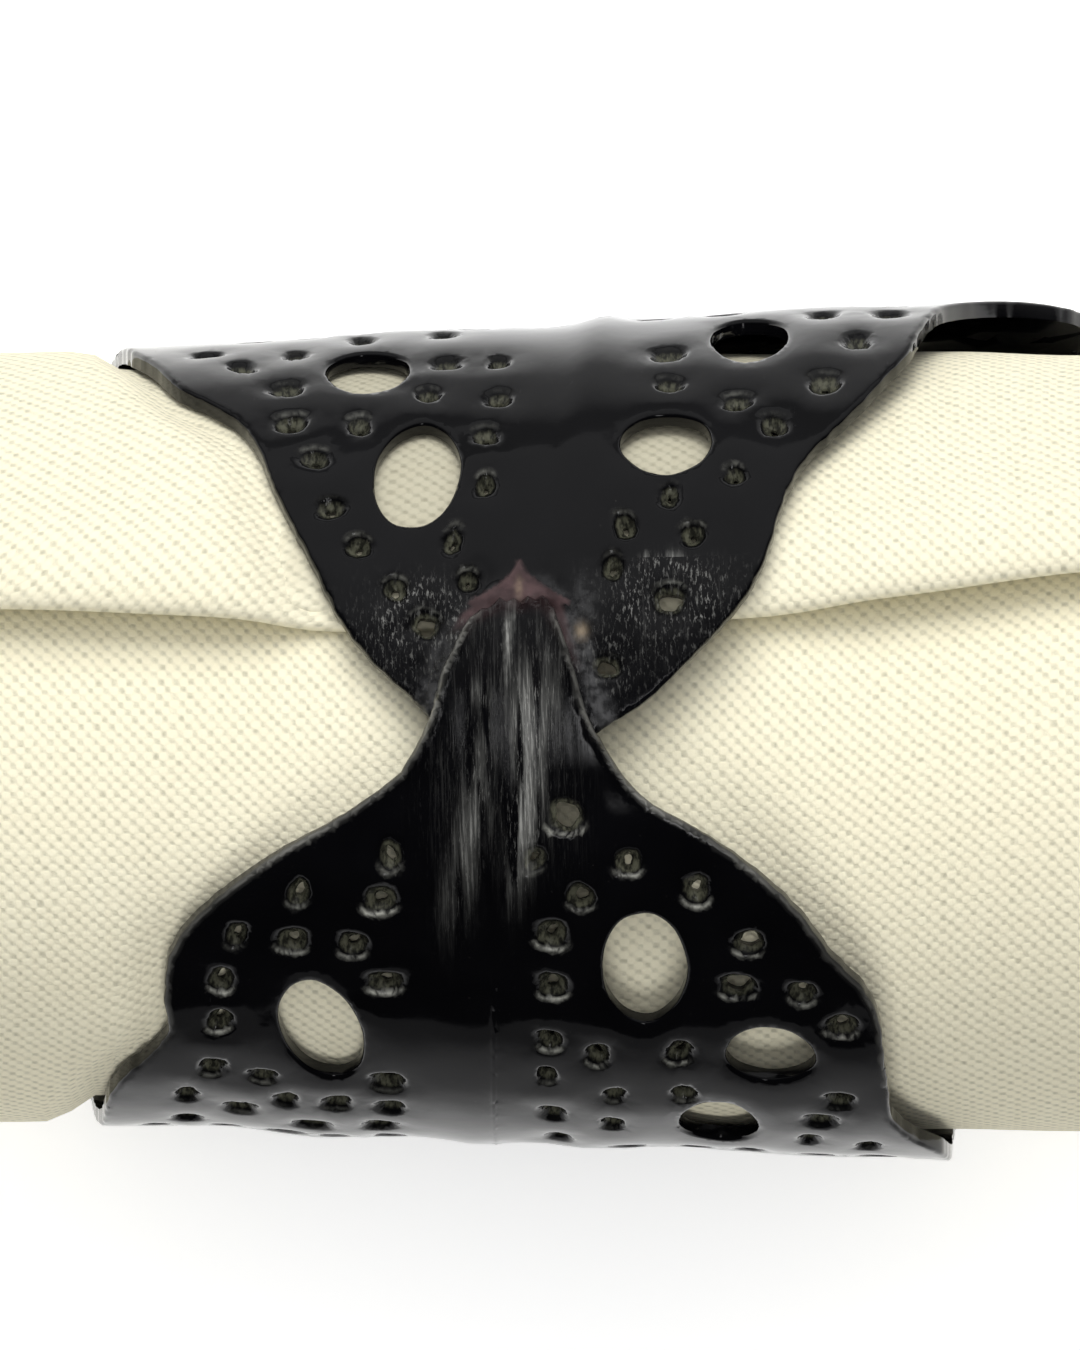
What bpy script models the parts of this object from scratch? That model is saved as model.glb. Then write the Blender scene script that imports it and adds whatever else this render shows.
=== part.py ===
"""Cloth napkin, folded in four and rolled, held in a pierced leaf ring.

Frame: metres, +Z up.  X runs along the roll, the ring's braze is on top.
Two pieces: the rolled napkin (one solid) and the ring, one sheet-metal leaf
wound once round the roll with its stem brazed on top of its own tip.
"""
import math
import bpy
import bmesh
from mathutils import Vector
from mathutils.geometry import delaunay_2d_cdt

MM = 0.001

# ---------------------------------------------------------------- sizes, mm
RING_R = 24.5          # outer radius of the ring at x = 0
RING_FLARE = 0.054     # growth of that radius per mm along +X (a slight cone)
SHEET = 1.0            # thickness of the leaf
LAP_GAP = 0.3          # gap between the stem and the tip it lies on
FLAT_DEPTH = 0.12      # how far the underside is pressed flat
BRAZE = (4.4, 3.4)     # braze under the stem: along X, along the wrap
BRAZE_AT = (9.0, -1.6)  # its place: degrees from the top, x

ROLL_LENGTH = 254.0    # a 508 mm napkin folded in four
FOLD = 3.2             # the four layers of the folded napkin, soft
NAP_CLEAR = 0.38       # cloth to metal
NAP_FLAT = 0.14        # how far the roll's underside is pressed flat
SAG_REACH = 30.0       # the roll comes down to the surface this far out

# The leaf, unrolled.  "turn" is the wrap angle in degrees from the top of the
# roll, falling from the stem end round the back edge to the hidden tip;
# "left" and "right" are the two edges' x in mm.
LEAF = (
    # turn,   left,  right
    (18.7, -2.4, 0.6),
    (16.0, -4.2, 1.0),
    (12.5, -5.0, 1.5),
    (8.0, -5.9, 2.1),
    (2.0, -6.6, 2.9),
    (-2.0, -7.4, 3.9),
    (-5.5, -8.3, 4.9),
    (-9.0, -10.2, 6.4),
    (-12.5, -12.5, 9.0),
    (-16.0, -15.0, 11.4),
    (-20.0, -17.3, 13.6),
    (-25.0, -19.6, 15.6),
    (-31.0, -21.5, 17.3),
    (-37.0, -22.3, 19.3),
    (-43.0, -22.35, 20.2),
    (-49.0, -22.1, 20.5),
    (-56.0, -23.3, 20.75),
    (-63.0, -24.9, 20.9),
    (-71.0, -25.8, 22.2),
    (-80.0, -26.1, 24.2),
    (-92.0, -26.5, 24.7),
    (-108.0, -27.1, 24.9),
    (-125.0, -27.9, 25.9),
    (-145.0, -28.7, 28.6),
    (-165.0, -29.0, 31.6),
    (-185.0, -28.9, 34.2),
    (-205.0, -28.4, 35.8),
    (-222.0, -27.8, 36.2),
    (-238.0, -27.0, 35.4),
    (-250.0, -26.3, 33.8),
    (-258.0, -25.7, 31.6),
    (-264.0, -25.3, 28.6),
    (-270.0, -25.0, 26.2),
    (-279.0, -24.4, 23.9),
    (-289.0, -22.9, 22.8),
    (-297.5, -21.5, 21.9),
    (-302.5, -19.7, 20.8),
    (-308.0, -17.8, 19.4),
    (-314.0, -16.7, 17.5),
    (-320.0, -16.0, 15.7),
    (-327.0, -14.9, 14.4),
    (-335.0, -13.5, 13.4),
    (-340.0, -12.6, 12.4),
    (-345.0, -11.4, 10.8),
    (-350.0, -9.8, 8.8),
    (-355.5, -7.4, 6.2),
    (-359.0, -6.2, 3.9),
    (-363.0, -4.7, 1.8),
    (-366.5, -2.9, -0.1),
)

# The large oval openings punched through the leaf.
OVALS = (
    # turn,    x, half along wrap, half along x, tilt in degrees
    (-34.4, 6.2, 4.2, 2.45, 0),
    (-49.0, -13.0, 4.6, 2.35, -14),
    (-50.0, 13.7, 2.4, 2.6, 0),
    (-70.0, 10.7, 3.3, 2.3, 0),
    (-112.0, -12.0, 4.2, 2.4, 10),
    (-141.0, 12.5, 3.4, 2.6, 0),
    (-205.0, -14.0, 4.2, 2.5, -8),
    (-232.0, 20.0, 3.6, 2.6, 0),
    (-289.0, 12.5, 3.6, 2.3, 0),
    (-294.5, -10.3, 2.9, 2.5, 0),
    (-315.5, 7.5, 2.45, 2.65, 0),
    (-319.5, -7.3, 4.2, 2.5, 6),
)

# The roll, by its stations along X: outer radius at the free fold, the
# sideways place of its axis, and where the free fold lies (degrees from top).
ROLL = (
    # x,    radius, axis_y, fold_deg
    (-127.0, 24.7, -0.7, 24.0),
    (-90.0, 24.6, -0.8, 21.0),
    (-55.0, 24.5, -0.95, 19.2),
    (-32.0, 24.45, -1.05, 18.3),
    (-12.0, 24.35, -1.15, 15.4),
    (12.0, 24.55, -1.25, 17.4),
    (22.0, 24.75, -1.35, 20.4),
    (33.0, 24.8, -1.35, 24.2),
    (60.0, 24.85, -1.15, 27.5),
    (95.0, 24.9, -0.9, 26.0),
    (127.0, 25.0, -0.7, 22.0),
)


def smooth(a, b, t):
    t = min(1.0, max(0.0, (t - a) / (b - a)))
    return t * t * (3 - 2 * t)


def look_up(table, key, col):
    """Smooth curve through one column of a table (monotone cubic)."""
    rows = table if table[0][0] < table[-1][0] else table[::-1]
    n = len(rows)
    if key <= rows[0][0]:
        return rows[0][col]
    if key >= rows[-1][0]:
        return rows[-1][col]
    i = 0
    while rows[i + 1][0] < key:
        i += 1

    def slope(k):
        if k == 0 or k == n - 1:
            j = max(0, k - 1) if k else 0
            return (rows[j + 1][col] - rows[j][col]) / (rows[j + 1][0] - rows[j][0])
        h0 = rows[k][0] - rows[k - 1][0]
        h1 = rows[k + 1][0] - rows[k][0]
        d0 = (rows[k][col] - rows[k - 1][col]) / h0
        d1 = (rows[k + 1][col] - rows[k][col]) / h1
        if d0 * d1 <= 0:
            return 0.0
        w0, w1 = 2 * h1 + h0, h1 + 2 * h0
        return (w0 + w1) / (w0 / d0 + w1 / d1)

    x0, x1 = rows[i][0], rows[i + 1][0]
    h = x1 - x0
    t = (key - x0) / h
    y0, y1 = rows[i][col], rows[i + 1][col]
    m0, m1 = slope(i) * h, slope(i + 1) * h
    return ((2 * t**3 - 3 * t**2 + 1) * y0 + (t**3 - 2 * t**2 + t) * m0
            + (-2 * t**3 + 3 * t**2) * y1 + (t**3 - t**2) * m1)


# ---------------------------------------------------------------- the ring
def ring_radius(x):
    return RING_R + RING_FLARE * x


def lap_lift(turn):
    """The stem rides on the tip, then comes down onto the roll."""
    return (SHEET + LAP_GAP) * smooth(-42.0, -10.0, turn)


def ring_point(turn, x, depth):
    """A point of the leaf; depth is measured inwards from its outer face."""
    a = math.radians(turn)
    r = ring_radius(x) + lap_lift(turn) - depth
    y = r * math.sin(a)
    z = ring_radius(x) - FLAT_DEPTH + r * math.cos(a)
    return Vector((x, y, max(z, depth)))


def inside(loop, p):
    hit = False
    for (x0, y0), (x1, y1) in zip(loop, loop[1:] + loop[:1]):
        if (y0 > p[1]) != (y1 > p[1]) and \
                p[0] < (x1 - x0) * (p[1] - y0) / (y1 - y0) + x0:
            hit = not hit
    return hit


def gap_to(loop, p):
    best = 1e9
    for (x0, y0), (x1, y1) in zip(loop, loop[1:] + loop[:1]):
        dx, dy = x1 - x0, y1 - y0
        t = ((p[0] - x0) * dx + (p[1] - y0) * dy) / (dx * dx + dy * dy)
        t = min(1.0, max(0.0, t))
        best = min(best, math.hypot(p[0] - x0 - t * dx, p[1] - y0 - t * dy))
    return best


ARC = math.radians(1.0) * RING_R          # mm of wrap per degree


def leaf_outline():
    """Both edges of the leaf in the flat: (along the wrap, x) in mm."""
    first, last = LEAF[0][0], LEAF[-1][0]
    steps = 74
    turns = [first + (last - first) * i / steps for i in range(steps + 1)]
    left = [(t * ARC, look_up(LEAF, t, 1)) for t in turns]
    right = [(t * ARC, look_up(LEAF, t, 2)) for t in turns]
    return left + right[::-1]


def oval_loop(turn, x, half_wrap, half_x, tilt, count=14):
    c, s = math.cos(math.radians(tilt)), math.sin(math.radians(tilt))
    loop = []
    for i in range(count):
        a = 2 * math.pi * i / count
        u, v = half_wrap * math.cos(a), half_x * math.sin(a)
        loop.append((turn * ARC + c * u - s * v, x + s * u + c * v))
    return loop


def make_leaf():
    outline = leaf_outline()
    ovals = [oval_loop(*row) for row in OVALS]
    points, edges = [], []
    for loop in [outline] + ovals:
        base = len(points)
        points += [Vector(p) for p in loop]
        edges += [(base + i, base + (i + 1) % len(loop)) for i in range(len(loop))]
    # a grid inside the leaf, one line every 6 degrees, two of them drawn in to
    # the edges of the flat on the underside
    step = 6.0
    for i in range(-61, 3):
        turn = i * step + (-0.6 if i == -29 else 0.6 if i == -31 else 0.0)
        for j in range(-8, 9):
            p = (turn * ARC, j * 4.6 + (2.3 if i % 2 else 0.0))
            if inside(outline, p) and gap_to(outline, p) > 1.3 and \
                    all(not inside(o, p) and gap_to(o, p) > 1.0 for o in ovals):
                points.append(Vector(p))
    verts, _e, faces = delaunay_2d_cdt(points, edges, [], 0, 1e-6)[:3]
    flat = [tuple(v) for v in verts]
    tris = []
    for f in faces:
        c = (sum(flat[k][0] for k in f) / 3, sum(flat[k][1] for k in f) / 3)
        if inside(outline, c) and not any(inside(o, c) for o in ovals):
            tris.append(tuple(f))
    bm = bmesh.new()
    outer = [bm.verts.new(ring_point(u / ARC, x, 0.0) * MM) for u, x in flat]
    inner = [bm.verts.new(ring_point(u / ARC, x, SHEET) * MM) for u, x in flat]
    used = {}
    for a, b, c in tris:
        bm.faces.new((outer[a], outer[b], outer[c]))
        bm.faces.new((inner[c], inner[b], inner[a]))
        for e in ((a, b), (b, c), (c, a)):
            used[e] = True
    for a, b in used:
        if (b, a) not in used:
            bm.faces.new((outer[b], outer[a], inner[a], inner[b]))
    loose = [v for v in bm.verts if not v.link_faces]
    bmesh.ops.delete(bm, geom=loose, context="VERTS")
    bmesh.ops.triangulate(bm, faces=bm.faces[:])
    bmesh.ops.recalc_face_normals(bm, faces=bm.faces[:])
    return bm


# ---------------------------------------------------------------- the napkin
def held(turn, x):
    """1 where the ring presses on the roll, 0 clear of it."""
    c = math.cos(math.radians(turn))
    left = -28.0 + 3.5 * c
    right = 31.0 - 8.5 * c
    return smooth(left - 4.0, left, x) * (1 - smooth(right, right + 5.0, x))


def roll_point(turn, phi, x):
    """Skin of the roll: a spiral of one turn from the free fold."""
    radius = look_up(ROLL, x, 1)
    axis_y = look_up(ROLL, x, 2)
    under = radius - FOLD * (180.0 - look_up(ROLL, x, 3)) / 360.0
    r = radius - FOLD * phi / 360.0
    # soft unevenness along the roll, none where the ring presses it or where
    # it lies on the surface
    free = smooth(20.0, 60.0, abs(x)) * smooth(0.0, 0.25, 1 + math.cos(math.radians(turn)))
    r += free * 0.35 * math.sin(math.radians(2 * turn + 2.1 * x)) \
        + free * 0.25 * math.sin(math.radians(3 * turn - 3.4 * x + 40))
    # the rounded nose of the free fold
    nose = 4.6
    if phi < nose:
        r -= FOLD * (1 - math.sqrt(max(0.0, 1 - (1 - phi / nose) ** 2)))
    # the ends of the roll are slightly rounded over
    r -= 0.9 * smooth(ROLL_LENGTH / 2 - 1.2, ROLL_LENGTH / 2, abs(x))
    # height of the underside: on the ring's inside, then down on the surface
    out = max(-31.0 - x, x - 37.0, 0.0)
    low = SHEET + NAP_CLEAR
    low += (-NAP_FLAT - low) * smooth(1.0, SAG_REACH, out)
    axis_z = low + under
    a = math.radians(turn)
    y, z = axis_y + r * math.sin(a), axis_z + r * math.cos(a)
    # pressed inside the ring
    ring_z = ring_radius(x) - FLAT_DEPTH
    room = ring_radius(x) - SHEET - NAP_CLEAR
    dist = math.hypot(y, z - ring_z)
    if dist > room:
        k = 1 + held(turn, x) * (room / dist - 1)
        y, z = y * k, ring_z + (z - ring_z) * k
    floor = (SHEET + NAP_CLEAR) * held(180.0, x)
    return Vector((x, y, max(z, floor)))


def make_roll():
    half = ROLL_LENGTH / 2
    xs = [-half, -half + 1.2, -118, -106, -92, -78, -64, -54, -46, -40, -36, -33, -31,
          -28.5, -26, -23, -19, -14, -8, 0, 8, 16, 24, 30, 36, 40, 46, 54, 64,
          76, 90, 104, 118, half - 1.2, half]
    phis = [0.0, 0.25, 0.9, 2.2, 4.6] + [9.0] + [6.0 * k for k in range(2, 60)]
    bm = bmesh.new()
    rings = []
    for x in xs:
        fold = look_up(ROLL, x, 3)
        rings.append([bm.verts.new(roll_point(fold + p, p, x) * MM)
                      for p in phis])
    # the first row is the foot of the step, which closes the section
    n = len(phis)
    for a, b in zip(rings, rings[1:]):
        for i in range(n):
            j = (i + 1) % n
            bm.faces.new((a[i], b[i], b[j], a[j]))
    for ring, flip in ((rings[0], False), (rings[-1], True)):
        mid = sum((v.co for v in ring), Vector()) / n
        hub = bm.verts.new(mid)
        for i in range(n):
            tri = (ring[i], ring[(i + 1) % n], hub)
            bm.faces.new(tri[::-1] if flip else tri)
    bmesh.ops.triangulate(bm, faces=bm.faces[:])
    bmesh.ops.recalc_face_normals(bm, faces=bm.faces[:])
    return bm


# ---------------------------------------------------------------- materials
def material(name, color, rough, metal):
    mat = bpy.data.materials.new(name)
    mat.use_nodes = True
    bsdf = mat.node_tree.nodes["Principled BSDF"]
    bsdf.inputs["Base Color"].default_value = (*color, 1.0)
    bsdf.inputs["Roughness"].default_value = rough
    bsdf.inputs["Metallic"].default_value = metal
    return mat


def put(name, bm, mat, sharp):
    mesh = bpy.data.meshes.new(name)
    bm.to_mesh(mesh)
    bm.free()
    mesh.materials.append(mat)
    mesh.shade_smooth()
    mesh.set_sharp_from_angle(angle=math.radians(sharp))
    obj = bpy.data.objects.new(name, mesh)
    bpy.context.scene.collection.objects.link(obj)
    return obj


def braze_block():
    """Solid block that joins the stem to the tip through the lap."""
    bm = bmesh.new()
    turn, x = BRAZE_AT
    da = BRAZE[1] / 2 / ARC
    corners = []
    for depth in (SHEET / 2, -(LAP_GAP + SHEET / 2)):
        for dt, dx in ((-da, -1), (da, -1), (da, 1), (-da, 1)):
            a = math.radians(turn + dt)
            px = x + dx * BRAZE[0] / 2
            r = ring_radius(px) - depth
            corners.append(bm.verts.new(Vector((
                px, r * math.sin(a), ring_radius(px) - FLAT_DEPTH + r * math.cos(a))) * MM))
    for f in ((0, 1, 2, 3), (7, 6, 5, 4), (0, 4, 5, 1), (1, 5, 6, 2),
              (2, 6, 7, 3), (3, 7, 4, 0)):
        bm.faces.new([corners[k] for k in f])
    bmesh.ops.triangulate(bm, faces=bm.faces[:])
    bmesh.ops.recalc_face_normals(bm, faces=bm.faces[:])
    return bm


def build():
    for obj in list(bpy.data.objects):
        bpy.data.objects.remove(obj, do_unlink=True)
    cloth = material("napkin_cloth", (0.84, 0.79, 0.66), 0.9, 0.0)
    black = material("ring_lacquer", (0.012, 0.012, 0.014), 0.25, 0.3)
    ring = put("ring", make_leaf(), black, 40)
    napkin = put("napkin", make_roll(), cloth, 50)
    core = put("braze_core", braze_block(), black, 40)
    core.hide_render = True
    core.display_type = "WIRE"
    join = ring.modifiers.new("braze", "BOOLEAN")
    join.operation = "UNION"
    join.solver = "EXACT"
    join.object = core
    # the origin is the middle of the whole thing's footprint
    pts = [v.co for o in (ring, napkin) for v in o.data.vertices]
    mid_x = (min(p.x for p in pts) + max(p.x for p in pts)) / 2
    mid_y = (min(p.y for p in pts) + max(p.y for p in pts)) / 2
    for o in (ring, napkin, core):
        for v in o.data.vertices:
            v.co.x -= mid_x
            v.co.y -= mid_y


build()
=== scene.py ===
"""Looks of the napkin in a ring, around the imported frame.

Millimetres in the shape code, metres in the scene.  X runs along the roll,
the braze is on top.  "turn" is the wrap angle in degrees from the top,
positive towards +Y; "u" is the same angle as mm of wrap.
"""
import math

import bpy
import numpy as np
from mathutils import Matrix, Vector
from mathutils.geometry import delaunay_2d_cdt


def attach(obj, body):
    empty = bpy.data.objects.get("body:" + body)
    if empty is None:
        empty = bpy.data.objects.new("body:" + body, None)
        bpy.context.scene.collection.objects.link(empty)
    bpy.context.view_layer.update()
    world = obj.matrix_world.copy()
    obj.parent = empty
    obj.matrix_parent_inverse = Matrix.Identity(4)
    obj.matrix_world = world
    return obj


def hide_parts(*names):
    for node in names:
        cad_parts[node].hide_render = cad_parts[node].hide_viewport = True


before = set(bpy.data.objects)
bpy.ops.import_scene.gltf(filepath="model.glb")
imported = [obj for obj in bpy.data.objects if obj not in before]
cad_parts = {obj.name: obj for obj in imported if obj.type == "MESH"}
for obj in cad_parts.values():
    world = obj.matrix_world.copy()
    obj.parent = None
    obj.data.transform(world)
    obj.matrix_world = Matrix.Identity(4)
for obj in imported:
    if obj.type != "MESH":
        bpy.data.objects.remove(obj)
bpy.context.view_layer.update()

MM = 0.001
MID_Y = 0.053938       # the model's centring shift along Y, mm

# ------------------------------------------------------------ shared sizes, mm
RING_R = 24.5
RING_FLARE = 0.054
SHEET = 1.0
LAP_GAP = 0.3
FLAT_DEPTH = 0.12
ARC = math.radians(1.0) * RING_R

ROLL_LENGTH = 254.0
FOLD = 3.2
NAP_CLEAR = 0.38
NAP_FLAT = 0.14
SAG_REACH = 30.0

CLOTH = 0.42           # thickness of one layer
HEM = 0.72             # thickness at the hems
HEM_WIDE = 7.0
PITCH_X = 0.447        # thread pitch along the roll
PITCH_W = 0.40         # thread pitch round the roll

LEAF = (
    # turn,   left,  right
    (18.7, -2.4, 0.6), (16.0, -4.2, 1.0), (12.5, -5.0, 1.5), (8.0, -5.9, 2.1),
    (2.0, -6.6, 2.9), (-2.0, -7.4, 3.9), (-5.5, -8.3, 4.9), (-9.0, -10.2, 6.4),
    (-12.5, -12.5, 9.0), (-16.0, -15.0, 11.4), (-20.0, -17.3, 13.6),
    (-25.0, -19.6, 15.6), (-31.0, -21.5, 17.3), (-37.0, -22.3, 19.3),
    (-43.0, -22.35, 20.2), (-49.0, -22.1, 20.5), (-56.0, -23.3, 20.75),
    (-63.0, -24.9, 20.9), (-71.0, -25.8, 22.2), (-80.0, -26.1, 24.2),
    (-92.0, -26.5, 24.7), (-108.0, -27.1, 24.9), (-125.0, -27.9, 25.9),
    (-145.0, -28.7, 28.6), (-165.0, -29.0, 31.6), (-185.0, -28.9, 34.2),
    (-205.0, -28.4, 35.8), (-222.0, -27.8, 36.2), (-238.0, -27.0, 35.4),
    (-250.0, -26.3, 33.8), (-258.0, -25.7, 31.6), (-264.0, -25.3, 28.6),
    (-270.0, -25.0, 26.2), (-279.0, -24.4, 23.9), (-289.0, -22.9, 22.8),
    (-297.5, -21.5, 21.9), (-302.5, -19.7, 20.8), (-308.0, -17.8, 19.4),
    (-314.0, -16.7, 17.5), (-320.0, -16.0, 15.7), (-327.0, -14.9, 14.4),
    (-335.0, -13.5, 13.4), (-340.0, -12.6, 12.4), (-345.0, -11.4, 10.8),
    (-350.0, -9.8, 8.8), (-355.5, -7.4, 6.2), (-359.0, -6.2, 3.9),
    (-363.0, -4.7, 1.8), (-366.5, -2.9, -0.1),
)

OVALS = (
    # turn,    x, half along wrap, half along x, tilt in degrees
    (-34.4, 6.2, 4.2, 2.45, 0), (-49.0, -13.0, 4.6, 2.35, -14),
    (-50.0, 13.7, 2.4, 2.6, 0), (-70.0, 10.7, 3.3, 2.3, 0),
    (-112.0, -12.0, 4.2, 2.4, 10), (-141.0, 12.5, 3.4, 2.6, 0),
    (-205.0, -14.0, 4.2, 2.5, -8), (-232.0, 20.0, 3.6, 2.6, 0),
    (-289.0, 12.5, 3.6, 2.3, 0), (-294.5, -10.3, 2.9, 2.5, 0),
    (-315.5, 7.5, 2.45, 2.65, 0), (-319.5, -7.3, 4.2, 2.5, 6),
)

# Small punched holes: centre, then half sizes of the pressed-in rim.
HOLES = (
    # turn,    x, half along wrap, half along x
    (-10.8, 1.4, 1.35, 1.5), (-16.8, -8.9, 1.38, 1.08), (-17.1, -0.4, 1.04, 1.14),
    (-17.3, 5.2, 1.07, 1.2), (-21.1, 9.2, 1.35, 1.26), (-22.5, 2.3, 1.17, 1.14),
    (-22.9, -14.4, 1.3, 0.96), (-23.6, -9.5, 1.24, 1.44), (-28.8, 0.6, 1.3, 1.38),
    (-29.4, 12.3, 1.1, 1.26), (-30.3, -18.1, 1.25, 0.9), (-31.1, -14.8, 1.19, 1.38),
    (-31.5, -11.2, 1.27, 1.2), (-37.0, 11.7, 1.13, 1.38), (-37.8, 15.5, 1.14, 1.2),
    (-38.0, 0.7, 1.3, 1.26), (-38.3, -9.3, 1.07, 1.6), (-39.0, -19.0, 1.31, 1.02),
    (-43.5, 17.9, 1.16, 1.38), (-47.4, -19.1, 1.33, 1.02), (-48.7, 0.5, 1.18, 1.08),
    (-50.1, 8.2, 1.3, 1.14), (-51.3, 3.4, 1.44, 0.96), (-56.8, 0.4, 1.1, 0.78),
    (-58.7, -19.6, 1.39, 1.02), (-60.1, 17.8, 1.08, 1.26), (-60.2, 8.6, 1.2, 0.95),
    (-60.4, -16.6, 1.09, 1.14), (-60.7, -9.2, 1.35, 1.44), (-61.1, 4.4, 1.12, 0.84),
    (-66.4, 16.7, 1.2, 1.26), (-67.6, -15.2, 1.3, 1.02), (-67.8, -12.2, 1.27, 1.2),
    (-68.0, -21.1, 1.45, 0.9), (-68.3, 0.7, 1.3, 1.02), (-68.6, -9.0, 1.3, 1.1),
    (-70.7, 4.3, 1.27, 0.84), (-72.5, -17.9, 1.45, 1.2), (-74.3, 16.1, 1.3, 0.9),
    (-76.4, 19.6, 1.27, 0.9), (-77.0, -9.6, 1.35, 1.3), (-80.1, 1.1, 1.45, 1.02),
    (-78.0, -13.6, 1.35, 1.45), (-80.1, -21.1, 1.45, 1.08),
    (-279.9, 16.9, 1.45, 1.35), (-279.9, -5.8, 1.45, 1.02),
    (-280.5, -10.7, 1.45, 1.02), (-281.2, 20.9, 1.45, 1.35),
    (-283.2, -20.0, 1.05, 1.2), (-286.1, -14.6, 1.08, 1.02),
    (-290.3, -17.8, 1.38, 1.02), (-292.5, 18.9, 1.45, 1.2),
    (-293.4, -5.6, 1.2, 1.2), (-293.7, 7.6, 1.34, 1.45), (-294.0, -2.5, 1.03, 0.9),
    (-299.0, -15.2, 1.3, 1.35), (-302.3, -6.7, 1.12, 1.05), (-302.6, 7.7, 1.12, 1.2),
    (-303.8, 16.9, 1.45, 1.45), (-304.4, -2.5, 1.17, 1.14), (-307.6, 11.7, 1.08, 1.35),
    (-308.0, -14.9, 1.22, 1.35), (-309.2, -10.8, 1.28, 1.05), (-312.5, -3.3, 1.11, 1.2),
    (-312.8, 13.9, 1.24, 1.14), (-315.8, -13.5, 1.17, 1.35), (-321.8, 11.5, 0.95, 1.05),
    (-322.1, -3.3, 1.33, 0.85), (-324.9, 7.7, 1.32, 0.9), (-325.3, -12.5, 1.09, 1.35),
    (-329.7, 5.0, 1.25, 0.95), (-331.3, -5.2, 1.45, 0.9), (-331.5, 9.0, 1.09, 1.05),
    (-332.0, -10.8, 1.02, 1.26), (-336.1, 4.3, 1.25, 0.95), (-337.8, -4.3, 0.97, 0.96),
    (-338.8, -8.6, 1.06, 1.05), (-341.2, 7.6, 1.25, 1.3), (-344.3, -6.9, 1.18, 1.26),
    (-350.5, 3.9, 0.95, 1.15),
)

# The few of them that are punched wide open, by turn.
WIDE = (-10.8, -37.0, -341.2, -350.5, -344.3, -29.4)

ROLL = (
    # x,    radius, axis_y, fold_deg
    (-127.0, 24.7, -0.7, 24.0), (-90.0, 24.6, -0.8, 21.0), (-55.0, 24.5, -0.95, 19.2),
    (-32.0, 24.45, -1.05, 18.3), (-12.0, 24.35, -1.15, 16.8), (12.0, 24.55, -1.25, 18.3),
    (22.0, 24.75, -1.35, 20.9), (33.0, 24.8, -1.35, 24.2), (60.0, 24.85, -1.15, 27.5),
    (95.0, 24.9, -0.9, 26.0), (127.0, 25.0, -0.7, 22.0),
)

# The ridge of the midrib, lengthwise along the leaf.
RIDGE = (
    # turn,     x, height, half width
    (19.0, -1.5, 0.10, 0.30), (6.0, -2.9, 0.16, 0.30), (-4.0, -3.2, 0.16, 0.32),
    (-18.0, -5.4, 0.07, 0.40), (-26.0, -6.1, 0.0, 0.50),
)
LINE = (
    (-14.0, -2.5, 0.0, 0.14), (-22.0, -2.76, 0.06, 0.14), (-60.0, -2.76, 0.08, 0.14),
    (-90.0, -2.6, 0.08, 0.15), (-180.0, 1.0, 0.05, 0.2), (-262.0, 3.4, 0.0, 0.2),
)
RIB = (
    (-40.0, -4.4, 0.0, 2.0), (-80.0, -4.2, 0.16, 1.6), (-180.0, 1.5, 0.30, 1.5),
    (-262.0, 3.9, 0.34, 1.3), (-290.0, 3.3, 0.32, 1.2), (-315.0, 2.0, 0.24, 1.0),
    (-335.0, 0.3, 0.14, 0.8), (-345.0, -1.0, 0.0, 0.8),
)
# How far the leaf stands off its cone where the flanks show, by x.
BELOW = ((-29.0, 0.5, 0), (-23.7, 0.45, 0), (-18.6, 0.15, 0), (-13.0, 0.55, 0),
         (-9.0, 0.3, 0), (-5.0, 0.15, 0), (0.0, 0.16, 0), (2.8, 0.38, 0),
         (9.0, -0.1, 0), (16.0, 0.0, 0), (24.0, -0.15, 0), (36.0, 0.0, 0))
ABOVE = ((-29.0, 0.0, 0), (-14.0, -0.03, 0), (-7.6, 0.16, 0), (-2.0, 0.0, 0),
         (10.0, 0.0, 0), (15.5, 0.18, 0), (22.0, 0.0, 0), (36.0, 0.0, 0))


# ------------------------------------------------------------ small helpers
def smooth(a, b, t):
    t = np.clip((np.asarray(t, float) - a) / (b - a), 0.0, 1.0)
    return t * t * (3 - 2 * t)


def curve(table, col):
    """Smooth curve through one column of a table (monotone cubic)."""
    rows = sorted(table)
    xs = np.array([r[0] for r in rows], float)
    ys = np.array([r[col] for r in rows], float)
    h = np.diff(xs)
    d = np.diff(ys) / h
    m = np.zeros_like(ys)
    m[0], m[-1] = d[0], d[-1]
    for k in range(1, len(xs) - 1):
        if d[k - 1] * d[k] > 0:
            w0, w1 = 2 * h[k] + h[k - 1], h[k] + 2 * h[k - 1]
            m[k] = (w0 + w1) / (w0 / d[k - 1] + w1 / d[k])

    def look(t):
        t = np.clip(np.asarray(t, float), xs[0], xs[-1])
        i = np.clip(np.searchsorted(xs, t, side="right") - 1, 0, len(xs) - 2)
        s = (t - xs[i]) / h[i]
        m0, m1 = m[i] * h[i], m[i + 1] * h[i]
        return ((2 * s**3 - 3 * s**2 + 1) * ys[i] + (s**3 - 2 * s**2 + s) * m0
                + (-2 * s**3 + 3 * s**2) * ys[i + 1] + (s**3 - s**2) * m1)
    return look


def waves(seed, count, short, long_, u, v):
    """Smooth unevenness of unit size: a sum of seeded waves."""
    rng = np.random.default_rng(seed)
    total = 0.0
    for _ in range(count):
        length = short * (long_ / short) ** rng.random()
        a = rng.random() * math.pi
        total = total + np.sin(2 * math.pi * (u * math.cos(a) + v * math.sin(a)) / length
                               + rng.random() * 6.28)
    return total / math.sqrt(count / 2)


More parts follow.
